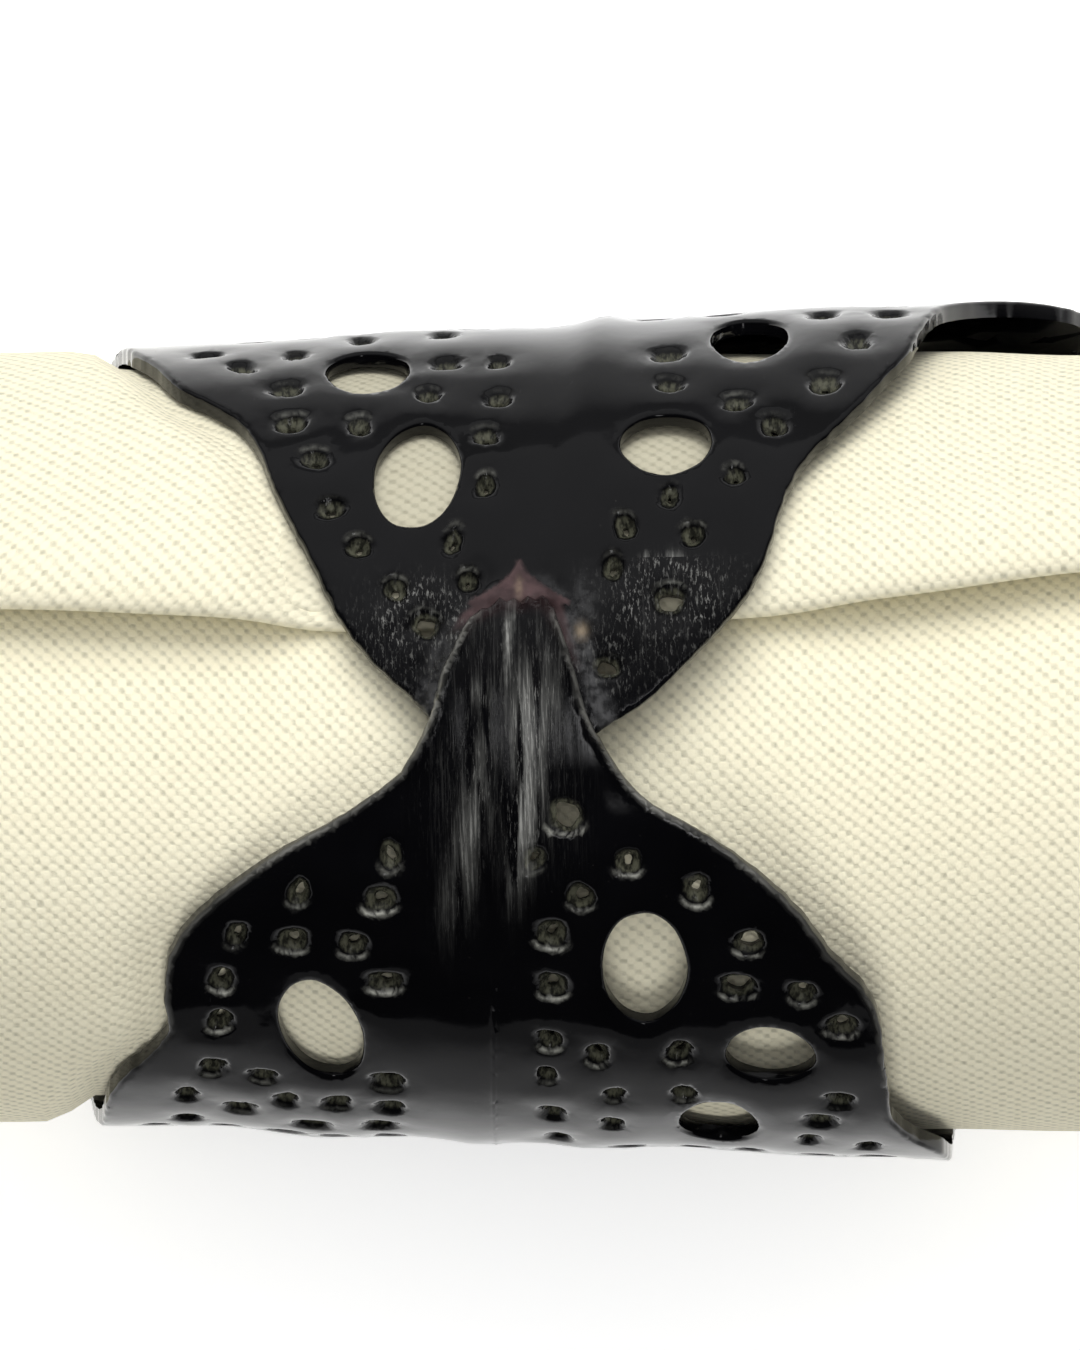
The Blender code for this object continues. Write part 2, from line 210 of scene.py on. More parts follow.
def nearest(points, loop):
    """Distance from each point to a closed loop of line pieces."""
    p = np.asarray(points, float)
    a = np.asarray(loop, float)
    b = np.roll(a, -1, axis=0)
    ab = b - a
    size = (ab**2).sum(1)
    out = np.empty(len(p))
    for k in range(0, len(p), 4000):
        q = p[k:k + 4000, None, :]
        t = np.clip(((q - a) * ab).sum(2) / size, 0, 1)
        out[k:k + 4000] = np.sqrt((((a + t[..., None] * ab) - q) ** 2).sum(2).min(1))
    return out


def within(points, loop):
    """True for each point inside the loop."""
    p = np.asarray(points, float)
    a = np.asarray(loop, float)
    b = np.roll(a, -1, axis=0)
    out = np.empty(len(p), bool)
    dy = b[:, 1] - a[:, 1]
    dy = np.where(dy == 0, 1e-12, dy)
    for k in range(0, len(p), 4000):
        q = p[k:k + 4000]
        cross = (a[:, 1] > q[:, 1:2]) != (b[:, 1] > q[:, 1:2])
        at = (b[:, 0] - a[:, 0]) * (q[:, 1:2] - a[:, 1]) / dy + a[:, 0]
        out[k:k + 4000] = (cross & (q[:, 0:1] < at)).sum(1) % 2 == 1
    return out


def box_of(loop, more):
    lo, hi = loop.min(0) - more, loop.max(0) + more
    return lo, hi


def make_piece(name, verts, faces, uvs, fields, mat, sharp):
    """Mesh object from arrays: verts in mm, faces as quads or triangles."""
    mesh = bpy.data.meshes.new(name)
    co = np.asarray(verts, float).copy()
    co[:, 1] -= MID_Y
    mesh.from_pydata((co * MM).tolist(), [], faces)
    if uvs is not None:
        layer = mesh.uv_layers.new(name="OFBake")
        layer.data.foreach_set("uv", np.asarray(uvs, np.float32).ravel())
    for key, values in fields.items():
        values = np.asarray(values, np.float32)
        if values.ndim == 1:
            mesh.attributes.new(key, "FLOAT", "POINT").data.foreach_set("value", values)
        else:
            mesh.attributes.new(key, "FLOAT_VECTOR", "POINT").data.foreach_set(
                "vector", values.ravel())
    mesh.materials.append(mat)
    mesh.shade_smooth()
    if sharp:
        mesh.set_sharp_from_angle(angle=math.radians(sharp))
    mesh.validate()
    obj = bpy.data.objects.new(name, mesh)
    bpy.context.scene.collection.objects.link(obj)
    return obj


# ------------------------------------------------------------ the ring
leaf_left, leaf_right = curve(LEAF, 1), curve(LEAF, 2)


def ring_radius(x):
    return RING_R + RING_FLARE * np.asarray(x, float)


def lap_lift(turn):
    return (SHEET + LAP_GAP) * smooth(-42.0, -10.0, turn)


def ring_point(turn, x, depth):
    a = np.radians(turn)
    r = ring_radius(x) + lap_lift(turn) - depth
    y = r * np.sin(a)
    z = ring_radius(x) - FLAT_DEPTH + r * np.cos(a)
    return np.stack([x, y, np.maximum(z, depth)], axis=-1)


def leaf_loop(step, rough):
    """Outline of the leaf in the flat (u, x), cut a little unevenly by hand."""
    turns = np.linspace(LEAF[0][0], LEAF[-1][0], 2000)
    parts = []
    for look, sign in ((leaf_left, 1), (leaf_right, -1)):
        pts = np.stack([turns * ARC, look(turns)], 1)
        parts.append(pts[::sign])
    line = np.concatenate(parts)
    line = np.concatenate([line, line[:1]])
    run = np.concatenate([[0], np.cumsum(np.hypot(*np.diff(line, axis=0).T))])
    n = int(run[-1] / step)
    at = np.arange(n) * run[-1] / n
    loop = np.stack([np.interp(at, run, line[:, 0]), np.interp(at, run, line[:, 1])], 1)
    if rough:
        s = waves(11, 9, 1.6, 9.0, at, 0 * at) * 0.035 + waves(12, 5, 0.7, 1.6, at, 0 * at) * 0.012
        tang = np.roll(loop, -1, 0) - np.roll(loop, 1, 0)
        tang /= np.hypot(*tang.T)[:, None]
        loop = loop + np.stack([tang[:, 1], -tang[:, 0]], 1) * s[:, None]
        # the cut end of the stem is ragged
        end = smooth(LEAF[0][0] * ARC - 1.3, LEAF[0][0] * ARC - 0.1, loop[:, 0])
        loop[:, 0] += end * (-0.1 + 0.16 * np.sin(loop[:, 1] * 7.3 + 1) + 0.09 * np.sin(loop[:, 1] * 17.0))
    return loop


def oval_loop(turn, x, half_wrap, half_x, tilt, seed, count=60):
    rng = np.random.default_rng(seed)
    a = np.arange(count) * 2 * math.pi / count
    grow = 1 + 0.018 * np.sin(2 * a + rng.random() * 6) + 0.014 * np.sin(3 * a + rng.random() * 6) \
        + 0.008 * np.sin(5 * a + rng.random() * 6) + 0.004 * np.sin(9 * a + rng.random() * 6)
    u, v = half_wrap * np.cos(a) * grow, half_x * np.sin(a) * grow
    c, s = math.cos(math.radians(tilt)), math.sin(math.radians(tilt))
    return np.stack([turn * ARC + c * u - s * v, x + s * u + c * v], 1)


def hidden_holes(outline, ovals):
    """The same kind of holes over the hidden half of the leaf."""
    rng = np.random.default_rng(5)
    rows = []
    taken = [(t * ARC, x) for t, x, _a, _b in HOLES]
    tries = []
    for i in range(31):
        turn = -86.0 - i * 6.4
        for j in range(18):
            x = -26.5 + j * 3.55 + (1.8 if i % 2 else 0.0)
            tries.append((turn * ARC + rng.uniform(-0.55, 0.55), x + rng.uniform(-0.6, 0.6),
                          rng.uniform(1.0, 1.35), rng.uniform(0.95, 1.3)))
    pts = np.array([(t[0], t[1]) for t in tries])
    ok = within(pts, outline) & (nearest(pts, outline) > 2.1)
    for o in ovals:
        ok &= ~within(pts, o) & (nearest(pts, o) > 1.9)
    for good, (u, x, a, b) in zip(ok, tries):
        turn = u / ARC
        rib = float(curve(RIB, 1)(turn))
        if good and abs(x - rib) > 3.0 and turn > -276 and \
                all(math.hypot(u - p, x - q) > 2.9 for p, q in taken):
            rows.append((turn, x, a, b))
            taken.append((u, x))
    return rows


def make_ring(mat):
    outline = leaf_loop(0.42, True)
    ovals = [oval_loop(*row, seed=40 + k) for k, row in enumerate(OVALS)]
    rows = [(*r, 24) for r in HOLES] + [(*r, 14) for r in hidden_holes(outline, ovals)]
    # holes keep clear of each other, of the ovals and of the edge
    holes = []
    rng = np.random.default_rng(77)
    big = [outline] + ovals
    for turn, x, a, b, count in rows:
        c = np.array([turn * ARC, x])
        room = min(float(nearest([c], loop)[0]) for loop in big) - 0.5
        for h in holes:
            room = min(room, np.hypot(*(c - h["c"])) - 0.6 * max(h["a"], h["b"]) - 0.35)
        fit = min(1.0, room / (0.66 * max(a, b)))
        if fit < 0.45:
            continue
        a, b = a * min(1, fit * 1.1), b * min(1, fit * 1.1)
        n = rng.uniform(2.0, 2.9)
        t = np.arange(count) * 2 * math.pi / count
        form = (np.abs(np.cos(t)) ** n + np.abs(np.sin(t)) ** n) ** (-1 / n)
        wob = 1 + 0.05 * np.sin(2 * t + rng.random() * 6) + 0.05 * np.sin(3 * t + rng.random() * 6)
        ang = math.radians(rng.uniform(-16, 16))
        ca, sa = math.cos(ang), math.sin(ang)
        rot = np.array([[ca, sa], [-sa, ca]])
        rim = np.stack([a * np.cos(t), b * np.sin(t)], 1) * (form * wob)[:, None] @ rot + c
        wide = any(abs(turn - k) < 0.05 for k in WIDE)
        share = rng.uniform(0.46, 0.54) if wide else rng.uniform(0.27, 0.40)
        if turn < -180:
            share *= 0.92 if wide else 0.66
        slit = 1.0 if wide else rng.uniform(0.50, 0.85)
        wob2 = 1 + 0.10 * np.sin(2 * t + rng.random() * 6) + 0.09 * np.sin(3 * t + rng.random() * 6) \
            + 0.05 * np.sin(5 * t + rng.random() * 6)
        shift = np.array([-0.05 * a, 0.10 * b]) + rng.uniform(-0.10, 0.10, 2)
        turned = math.radians(rng.uniform(-35, 35))
        ct, st = math.cos(turned), math.sin(turned)
        rot2 = np.array([[ct, st], [-st, ct]])
        hole = np.stack([a * np.cos(t), b * slit * np.sin(t)], 1) * (form * wob2 * share)[:, None] @ rot2 \
            + c + shift
        holes.append(dict(c=c, a=a, b=b, rim=rim, hole=hole, count=count,
                          deep=rng.uniform(0.45, 0.55) if wide else rng.uniform(0.60, 0.78)))
    small = [h["hole"] for h in holes]
    loops = [outline] + ovals + small

    # ---- points of the outer face
    free = []
    for k, loop in enumerate(big):
        tang = np.roll(loop, -1, 0) - np.roll(loop, 1, 0)
        tang /= np.hypot(*tang.T)[:, None]
        side = np.stack([tang[:, 1], -tang[:, 0]], 1)
        probe = loop + side * 0.05
        metal = within(probe, outline)
        if k:
            metal = ~within(probe, loop)
        if metal.mean() < 0.5:
            side = -side
        for n_, d in enumerate((0.035, 0.09, 0.17, 0.28, 0.5, 0.85)):
            ring = loop + side * d
            free.append(ring if n_ < 4 else ring[::2] if n_ == 5 else ring)
    for h in holes:
        ts = (0.05, 0.14, 0.27, 0.42, 0.57, 0.72, 0.87, 1.02, 1.25) if h["count"] > 20 \
            else (0.08, 0.3, 0.6, 0.9, 1.2)
        for t in ts:
            free.append(h["hole"] * (1 - t) + h["rim"] * t)
    near = []
    # the stem and the tip under it are close-meshed for their brushed relief
    for u in np.arange(-24 * ARC, 19 * ARC, 0.36):
        for v in np.arange(-17, 14, 0.36):
            near.append((u + 0.09 * math.sin(v * 37), v + 0.18 * (int(u * 3) % 2)))
    for u in np.arange(-367 * ARC, -338 * ARC, 0.36):
        for v in np.arange(-14, 14, 0.36):
            near.append((u + 0.09 * math.sin(v * 37), v + 0.09 * math.sin(u * 41)))
    for u in np.arange(-346 * ARC, -333 * ARC, 0.2):
        for v in np.arange(-5.2, 3.2, 0.2):
            near.append((u + 0.03 * math.sin(v * 37), v + 0.1 * (int(u * 5) % 2)))
    along_line = curve(LINE, 1)
    for u in np.arange(-92 * ARC, -14 * ARC, 0.45):
        for off in (-0.3, -0.14, 0.0, 0.14, 0.3):
            near.append((u, float(along_line(u / ARC)) + off))
    free.append(np.array(near))
    grid = []
    for i, u in enumerate(np.arange(-367 * ARC, 19 * ARC, 0.95)):
        for v in np.arange(-30, 37.5, 1.05):
            grid.append((u, v + (0.52 if i % 2 else 0)))
    free.append(np.array(grid))
    pts = np.concatenate(free)
    d_out = nearest(pts, outline)
    keep = within(pts, outline) & (d_out > 0.028)
    d_hole = np.full(len(pts), 9.0)
    for loop in ovals + small:
        lo, hi = box_of(loop, 1.2)
        idx = np.nonzero(((pts > lo) & (pts < hi)).all(1))[0]
        if len(idx):
            dd = nearest(pts[idx], loop)
            d_hole[idx] = np.minimum(d_hole[idx], dd)
            keep[idx[within(pts[idx], loop)]] = False
    keep &= d_hole > 0.03
    pts = pts[keep]
    # thin out points that crowd each other, first come first kept
    cell = {}
    chosen = []
    size = 0.075
    for k, (pu, pv) in enumerate(pts):
        key = (int(pu / size), int(pv / size))
        if any((key[0] + i, key[1] + j) in cell for i in (-1, 0, 1) for j in (-1, 0, 1)
               if i == 0 or j == 0):
            continue
        cell[key] = k
        chosen.append(k)
    pts = pts[chosen]
    # grid points give way to the finer rows round edges and holes

    def mesh_flat(points):
        co, edges, base = [], [], 0
        starts = []
        for loop in loops:
            starts.append(base)
            n = len(loop)
            co += loop.tolist()
            edges += [(base + i, base + (i + 1) % n) for i in range(n)]
            base += n
        co += points.tolist()
        vs, _e, fs, ov = delaunay_2d_cdt([Vector(p) for p in co], edges, [], 0, 1e-7)[:4]
        flat = np.array([tuple(v) for v in vs])
        where = {}
        for new, olds in enumerate(ov):
            for o in olds:
                where[o] = new
        tri = np.array([f for f in fs if len(f) == 3])
        mid = flat[tri].mean(1)
        good = within(mid, outline)
        for loop in ovals + small:
            lo, hi = box_of(loop, 0.0)
            idx = np.nonzero(((mid > lo) & (mid < hi)).all(1))[0]
            if len(idx):
                good[idx[within(mid[idx], loop)]] = False
        tri = tri[good]
        at = [np.array([where[s + i] for i in range(len(loop))]) for s, loop in zip(starts, loops)]
        return flat, tri, at

    flat_o, tri_o, at_o = mesh_flat(pts)
    coarse = []
    for i, u in enumerate(np.arange(-367 * ARC, 19 * ARC, 2.2)):
        for v in np.arange(-30, 37.5, 2.4):
            coarse.append((u, v + (1.2 if i % 2 else 0)))
    coarse = np.array(coarse)
    ok = within(coarse, outline) & (nearest(coarse, outline) > 0.6)
    for loop in ovals + small:
        lo, hi = box_of(loop, 1.0)
        idx = np.nonzero(((coarse > lo) & (coarse < hi)).all(1))[0]
        if len(idx):
            ok[idx[within(coarse[idx], loop) | (nearest(coarse[idx], loop) < 0.5)]] = False
    flat_i, tri_i, at_i = mesh_flat(coarse[ok])

    # ---- the relief of the outer face
    def relief(flat):
        u, v = flat[:, 0], flat[:, 1]
        turn = u / ARC
        stem = smooth(-12.0, -2.0, turn)
        depth = np.zeros(len(flat))
        d_edge = nearest(flat, outline)
        # rounded cut edges
        for loop, r in [(outline, 0.26)] + [(o, 0.24) for o in ovals]:
            if loop is outline:
                idx = np.nonzero(d_edge < r)[0]
                d = d_edge[idx]
            else:
                lo, hi = box_of(loop, r)
                idx = np.nonzero(((flat > lo) & (flat < hi)).all(1))[0]
                d = nearest(flat[idx], loop)
                idx, d = idx[d < r], d[d < r]
            depth[idx] += r - np.sqrt(np.maximum(0, r * r - (r - d) ** 2))
        # the edges of the ovals are drawn in a little
        for loop in ovals:
            lo, hi = box_of(loop, 1.6)
            idx = np.nonzero(((flat > lo) & (flat < hi)).all(1))[0]
            d = nearest(flat[idx], loop)
            depth[idx] += 0.10 * (1 - smooth(0.0, 1.4, d))
        # pressed-in small holes
        press = np.zeros(len(flat))
        painted_lip_glint = np.zeros(len(flat))
        for h in holes:
            lo, hi = box_of(h["rim"], 1.15)
            idx = np.nonzero(((flat > lo) & (flat < hi)).all(1))[0]
            if not len(idx):
                continue
            d_in = nearest(flat[idx], h["hole"])
            d_rim = nearest(flat[idx], h["rim"])
            inside_rim = within(flat[idx], h["rim"])
            t = np.where(inside_rim, d_in / (d_in + d_rim + 1e-9), 1.0)
            f = h["deep"] * (0.93 * (1 - smooth(0.0, 1.0, t)) + 0.07 * (1 - t))
            f += np.where(inside_rim, 0.09, 0.09 * (1 - smooth(0.0, 1.1, d_rim)))
            lump = waves(int(abs(h["c"][0]) * 13) % 9973, 6, 0.35, 0.9, u[idx], v[idx])
            f += 0.022 * lump * np.where(inside_rim, 1 - smooth(0.75, 1.0, t), 0.0)
            # painted highlight on the lips: the near side below, the far side above, where the light catches them
            q = flat[idx] - h["c"]
            way = q[:, 0] / (np.hypot(q[:, 0] / h["a"], q[:, 1] / h["b"]) * h["a"] + 1e-9)
            below = h["c"][0] / ARC > -180
            way = -way if below else way
            lean = abs(h["c"][0] / ARC + (0 if below else 360))
            much = (0.95 if below else 0.30) * (1 - 0.85 * float(smooth(44.0, 66.0, lean)))
            much *= 0.55 + 0.45 * math.sin(h["c"][0] * 5.1 + h["c"][1] * 3.7)
            band_ = smooth(0.58, 0.72, t) * (1 - smooth(0.78, 0.92, t)) * inside_rim
            painted_lip_glint[idx] = np.maximum(painted_lip_glint[idx], much * smooth(0.30, 0.90, way) * band_)
            f += 0.09 * (1 - smooth(0.0, 0.09, d_in)) * (d_in < 0.09)
            press[idx] = np.maximum(press[idx], f)
        depth += press
        # midrib, its line and its ridge on the stem
        for table in (RIDGE, LINE, RIB):
            cx, hgt, wid = (curve(table, c)(turn) for c in (1, 2, 3))
            t0, t1 = table[-1][0], table[0][0]
            on = ((turn >= t0) & (turn <= t1)).astype(float)
            depth -= on * hgt * np.exp(-((v - cx) / wid) ** 2)
        # burr raised along the stem's two edges
        burr = smooth(-14.0, -3.0, turn)
        depth -= burr * (0.15 + 0.05 * waves(8, 6, 0.8, 3.0, u, v)) * np.exp(-((d_edge - 0.27) / 0.13) ** 2)
        # the stem is crowned along its middle, with drawn lengthwise grooves
        depth += smooth(-22.0, -6.0, turn) * 0.72 * (1 - np.exp(-(v + 0.75) ** 2 / 24.0))
        depth += stem * 0.05 * np.exp(-((v + 0.1) / 0.45) ** 2)
        depth += smooth(-30.0, -8.0, turn) * 0.12 * np.exp(-((v + 4.7 - 0.10 * (u + 3)) / 0.9) ** 2)
        g = 0.0
        for k, (wl, amp) in enumerate(((2.3, 0.030), (1.37, 0.024), (0.93, 0.018))):
            g = g + amp * np.sin(2 * math.pi * (v + 0.035 * u + 0.3 * np.sin(u * 0.21 + k)) / wl + k * 1.9)
        depth += g * smooth(-24.0, -6.0, turn) * np.exp(-((v + 2.2) / 4.2) ** 2)
        # brushed mounds beside the stem, on the tip
        tip = (turn < -335).astype(float)
        for cu, cv, wu, wv, amp in ((-341.5, 7.8, 4.2, 3.0, 0.16), (-344.0, -7.6, 4.0, 2.8, 0.12)):
            depth -= tip * amp * np.exp(-((u - cu * ARC) / (wu * ARC * 0.7)) ** 2 - ((v - cv) / wv) ** 2) \
                * (press < 0.05)
        # solder drawn up round the stem where it lies on the tip
        over = flat + np.array([360.0 * ARC, 0.0])
        idx = np.nonzero(tip > 0)[0]
        if len(idx):
            q = over[idx]
            tq = q[:, 0] / ARC
            d = nearest(q, outline)
            inn = within(q, outline)
            d = np.where(inn, 0.0, d)
            end = smooth(16.8, 19.0, tq)
            left_side = (q[:, 1] < -1.0).astype(float)
            high = 0.28 + 0.34 * left_side
            high = high + (1.05 - high) * end
            apex = np.exp(-((q[:, 1] + 1.2) / 1.3) ** 2)
            wide = 1.15 + 0.25 * left_side + end * (0.2 + 1.7 * apex)
            fade = smooth(-4.0, 5.0, tq)
            lump = 1 + 0.06 * waves(3, 6, 1.6, 4.0, q[:, 0], q[:, 1])
            s = np.clip(d / (wide * lump), 0, 1)
            depth[idx] -= high * fade * (1 - s) ** 2.0
            depth[idx] -= 0.035 * fade * (1 - smooth(0, 3.0, d)) * waves(4, 8, 1.0, 2.6, q[:, 0], q[:, 1])
        # beaten unevenness of the whole leaf
        depth -= 0.030 * waves(21, 10, 6.0, 18.0, u * 0.8, v) + 0.007 * waves(22, 10, 2.4, 6.0, u, v)
        # stand-off of the flanks
        depth -= curve(BELOW, 1)(v) * np.exp(-((turn + 92) / 24.0) ** 2)
        depth -= curve(ABOVE, 1)(v) * np.exp(-((turn + 268) / 24.0) ** 2)
        return depth, press, d_edge, painted_lip_glint

    depth_o, press_o, edge_o, painted_lip_glint_o = relief(flat_o)
    # the inner face: one sheet further in, the pressed holes standing out there
    u, v = flat_i[:, 0], flat_i[:, 1]
    turn_i = u / ARC
    depth_i = np.full(len(flat_i), SHEET)
    for at in at_i[1 + len(OVALS):]:
        depth_i[at] += 0.22
    depth_i -= 0.030 * waves(21, 10, 6.0, 18.0, u * 0.8, v)
    depth_i -= curve(BELOW, 1)(v) * np.exp(-((turn_i + 92) / 24.0) ** 2)
    depth_i -= curve(ABOVE, 1)(v) * np.exp(-((turn_i + 268) / 24.0) ** 2)

    # nothing sinks through the surface it stands on
    def placed(flat, depth):
        t, x = flat[:, 0] / ARC, flat[:, 1]
        p = ring_point(t, x, np.maximum(depth, 0.0))
        more = np.minimum(depth, 0.0)
        a = np.radians(t)
        p[:, 1] -= more * np.sin(a)
        p[:, 2] -= more * np.cos(a)
        p[:, 2] = np.maximum(p[:, 2], 0.0)
        return p

    verts = np.concatenate([placed(flat_o, depth_o), placed(flat_i, depth_i)])
    n_o = len(flat_o)
    faces = [tuple(t) for t in tri_o.tolist()]
    faces += [(c + n_o, b + n_o, a + n_o) for a, b, c in tri_i.tolist()]
    # orientation: the outer face's normal must point away from the axis
    a, b, c = (verts[tri_o[:, k]] for k in range(3))
    nrm = np.cross(b - a, c - a)
    out = a - np.stack([a[:, 0], 0 * a[:, 0], ring_radius(a[:, 0])], 1)
    flip = (nrm * out).sum(1).sum() < 0
    scale = 1 / 172.0

    def uv_of(flat, row):
        return np.stack([(flat[:, 0] + 160.0) * scale, (flat[:, 1] + 30.0) * scale + row], 1)
    uv_o, uv_i = uv_of(flat_o, 0.003), uv_of(flat_i, 0.410)
    uvs = [uv_o[tri_o].reshape(-1, 2), uv_i[tri_i[:, ::-1]].reshape(-1, 2)]
    # walls of every cut, laid out as strips in the map
    run_x, run_y = 0.004, 0.815
    for ao, ai, loop in zip(at_o, at_i, loops):
        n = len(loop)
        seg = np.hypot(*(np.roll(loop, -1, 0) - loop).T) * scale
        for i in range(n):
            j = (i + 1) % n
            if run_x + seg[i] > 0.995:
                run_x, run_y = 0.004, run_y + 0.0115
            q = (int(ao[i]), int(ao[j]), int(ai[j]) + n_o, int(ai[i]) + n_o)
            faces.append(q)
            uvs.append(np.array([(run_x, run_y), (run_x + seg[i], run_y),
                                 (run_x + seg[i], run_y + 0.007), (run_x, run_y + 0.007)]))
            run_x += seg[i]
        run_x += 0.003
    flat_all = np.concatenate([flat_o, flat_i])
    stem_all = np.concatenate([flat_o, flat_i])
    turn_all = flat_all[:, 0] / ARC
    d_edge_all = np.concatenate([edge_o, nearest(flat_i, outline)])
    x_all = flat_all[:, 1]
    def zone(t0, x0, wt, wx, lean=0.0):
        return np.exp(-((turn_all - t0) / wt) ** 2
                      - ((x_all - x0 - lean * (turn_all - t0)) / wx) ** 2)
    on_tip = turn_all < -335
    on_stem = smooth(-24.0, -7.0, turn_all)
    brushed = on_stem * np.exp(-((x_all + 2.2) / 4.4) ** 4)
    brushed = np.where(on_tip, np.clip(1.7 * (zone(-342.0, 7.8, 7.0, 3.6) + zone(-346.5, -7.4, 6.5, 3.0)
                                              + zone(-351.0, 3.2, 4.0, 2.2)), 0, 1), brushed)
    # painted highlight: bright zones where the overhead light's sheen falls on the stem
    painted_sheen = 1.0 * zone(2.0, -0.7, 5.5, 0.85) + 0.95 * zone(-9.5, -0.75, 7.0, 0.75, 0.03) \
        + 0.55 * zone(-7.0, -3.7, 6.5, 0.55, 0.06) + 0.32 * zone(-19.0, -4.6, 8.0, 0.8, 0.07) \
        + 0.40 * zone(-16.0, -1.2, 6.0, 0.6, 0.04) + 0.9 * zone(13.0, -1.9, 4.6, 0.20, 0.03) \
        + 0.30 * zone(8.0, 0.6, 6.0, 0.9) + 0.45 * zone(5.5, -3.6, 2.0, 0.35)
    painted_sheen = np.where(on_tip, 0.0, painted_sheen)
    # painted highlight on the strokes round the two holes beside the stem
    for t0, x0, r0 in ((-341.2, 7.6, 2.25), (-344.3, -6.9, 2.1)):
        away = np.hypot((turn_all - t0) * ARC, x_all - x0)
        painted_sheen = painted_sheen + 0.8 * np.exp(-((away - r0) / 0.55) ** 2) * ((turn_all - t0) > -3.0)
    q = flat_all + np.array([360.0 * ARC, 0.0])
    far = np.full(len(flat_all), 9.0)
    idx = np.nonzero(on_tip)[0]
    dd = nearest(q[idx], outline)
    far[idx] = np.where(within(q[idx], outline), 0.0, dd)
    tq = q[:, 0] / ARC
    lefts = x_all < -1.0
    band = np.where(lefts, 1 - smooth(0.7, 1.4, far), smooth(0.15, 0.45, far) * (1 - smooth(1.0, 1.9, far)))
    solder = np.where(on_tip, band * smooth(-5.0, 2.0, tq) * (1 - 0.6 * smooth(15.0, 18.0, tq)), 0.0)
    solder = np.where(lefts, solder * (0.45 + 0.55 * smooth(9.0, 3.0, tq)), solder)
    # grey bloom above the stem's right shoulder
    solder = np.maximum(solder, 0.55 * np.exp(-((turn_all + 341.5) / 3.6) ** 2 - ((x_all - 2.6) / 0.75) ** 2))
    # the brown braze: a concave three-cornered patch above the stem's end
    top = 25.3 - LEAF[0][0]
    rise = (tq - LEAF[0][0])
    reach = np.clip(1 - rise / top, 0, 1)
    span = 0.05 + 2.9 * reach ** 2.0
    inside_patch = 1 - smooth(-0.12, 0.16, np.abs(x_all + 1.25) - span)
    braze = np.where(on_tip & (rise > -0.6), inside_patch * (1 - smooth(top - 0.6, top + 0.2, rise)), 0.0)
    side_line = (1 - smooth(0.35, 0.75, far)) * smooth(13.5, 17.0, tq)
    braze = np.maximum(braze, np.where(on_tip, side_line, 0.0))
    braze = np.maximum(braze, 0.5 * np.where(on_tip & ~lefts, (1 - smooth(0.25, 0.6, far)) * smooth(8.0, 12.0, tq), 0.0))
    scorch = np.where(turn_all > 12.0, 0.30 * smooth(12.0, 18.5, turn_all), 0.0)
    braze = np.maximum(braze, scorch * (1 - smooth(0.4, 1.0, d_edge_all)))
    # a spot of bare copper
    copper = np.exp(-((turn_all + 345.7) / 1.0) ** 2 - ((x_all - 2.45) / 0.32) ** 2) \
        + 0.6 * np.exp(-((turn_all + 339.8) / 1.6) ** 2 - ((x_all + 1.25) / 0.18) ** 2)
    press_all = np.concatenate([press_o, np.zeros(len(flat_i))])
    painted_lip_glint_all = np.concatenate([painted_lip_glint_o, np.zeros(len(flat_i))])
    # painted highlight: a thin bright line along the cut edges of the outer face
    painted_edge_glint = np.exp(-((d_edge_all - 0.13) / 0.11) ** 2) * np.where(turn_all > -200, 1, 0) \
        * (0.40 * smooth(-62.0, -50.0, turn_all) + 0.60 * smooth(-26.0, -8.0, turn_all)) \
        * (1 - smooth(15.0, 17.0, turn_all))
    painted_edge_glint[len(flat_o):] = 0.0
    if flip:
        faces = [f[::-1] for f in faces]
        uvs = [x.reshape(-1, 3, 2)[:, ::-1].reshape(-1, 2) if k < 2 else x[::-1]
               for k, x in enumerate(uvs)]
    fields = dict(
        leaf=np.stack([flat_all[:, 0], flat_all[:, 1], np.concatenate([depth_o * 0, depth_i * 0 + 4])], 1),
        brushed=brushed, braze=braze, solder=solder, painted_edge_glint=painted_edge_glint, press=press_all, painted_lip_glint=painted_lip_glint_all,
        painted_sheen=painted_sheen, copper=copper)
    obj = make_piece("leaf_ring", verts, faces, np.concatenate(uvs), fields, mat, 50)
    return obj, outline, len(faces)


# ------------------------------------------------------------ the napkin
roll_radius, roll_axis, roll_fold = curve(ROLL, 1), curve(ROLL, 2), curve(ROLL, 3)


def core_pull(phi):
    """The inner turns curl in tighter than the layers' own thickness."""
    return 9.0 * np.clip((phi - 360.0) / 360.0, 0, None) ** 1.6


def wrap_table():
    """phi for each mm of wrap from the free fold."""
    phi = np.linspace(0, 900, 9001)
    r = 24.5 - FOLD * phi / 360 - FOLD / 2 - core_pull(phi)
    r = np.maximum(r, 3.0)
    s = np.concatenate([[0], np.cumsum(np.radians(np.diff(phi)) * (r[1:] + r[:-1]) / 2)])
    return lambda d: np.interp(d, s, phi)


def nose_line(share):
    """Half of one layer's section at the free fold: run -> (along, height)."""
    tall = FOLD / 2 - CLOTH / 2 - 0.78 * share
    start = 0.78 * share
    deep = 4.2 - 0.60 * share
    a = np.linspace(0, math.pi / 2, 60)
    along = start + deep * (1 - np.cos(a))
    high = tall * np.sin(a)
    run = np.concatenate([[0], np.cumsum(np.hypot(np.diff(along), np.diff(high)))])
    return run, along, high


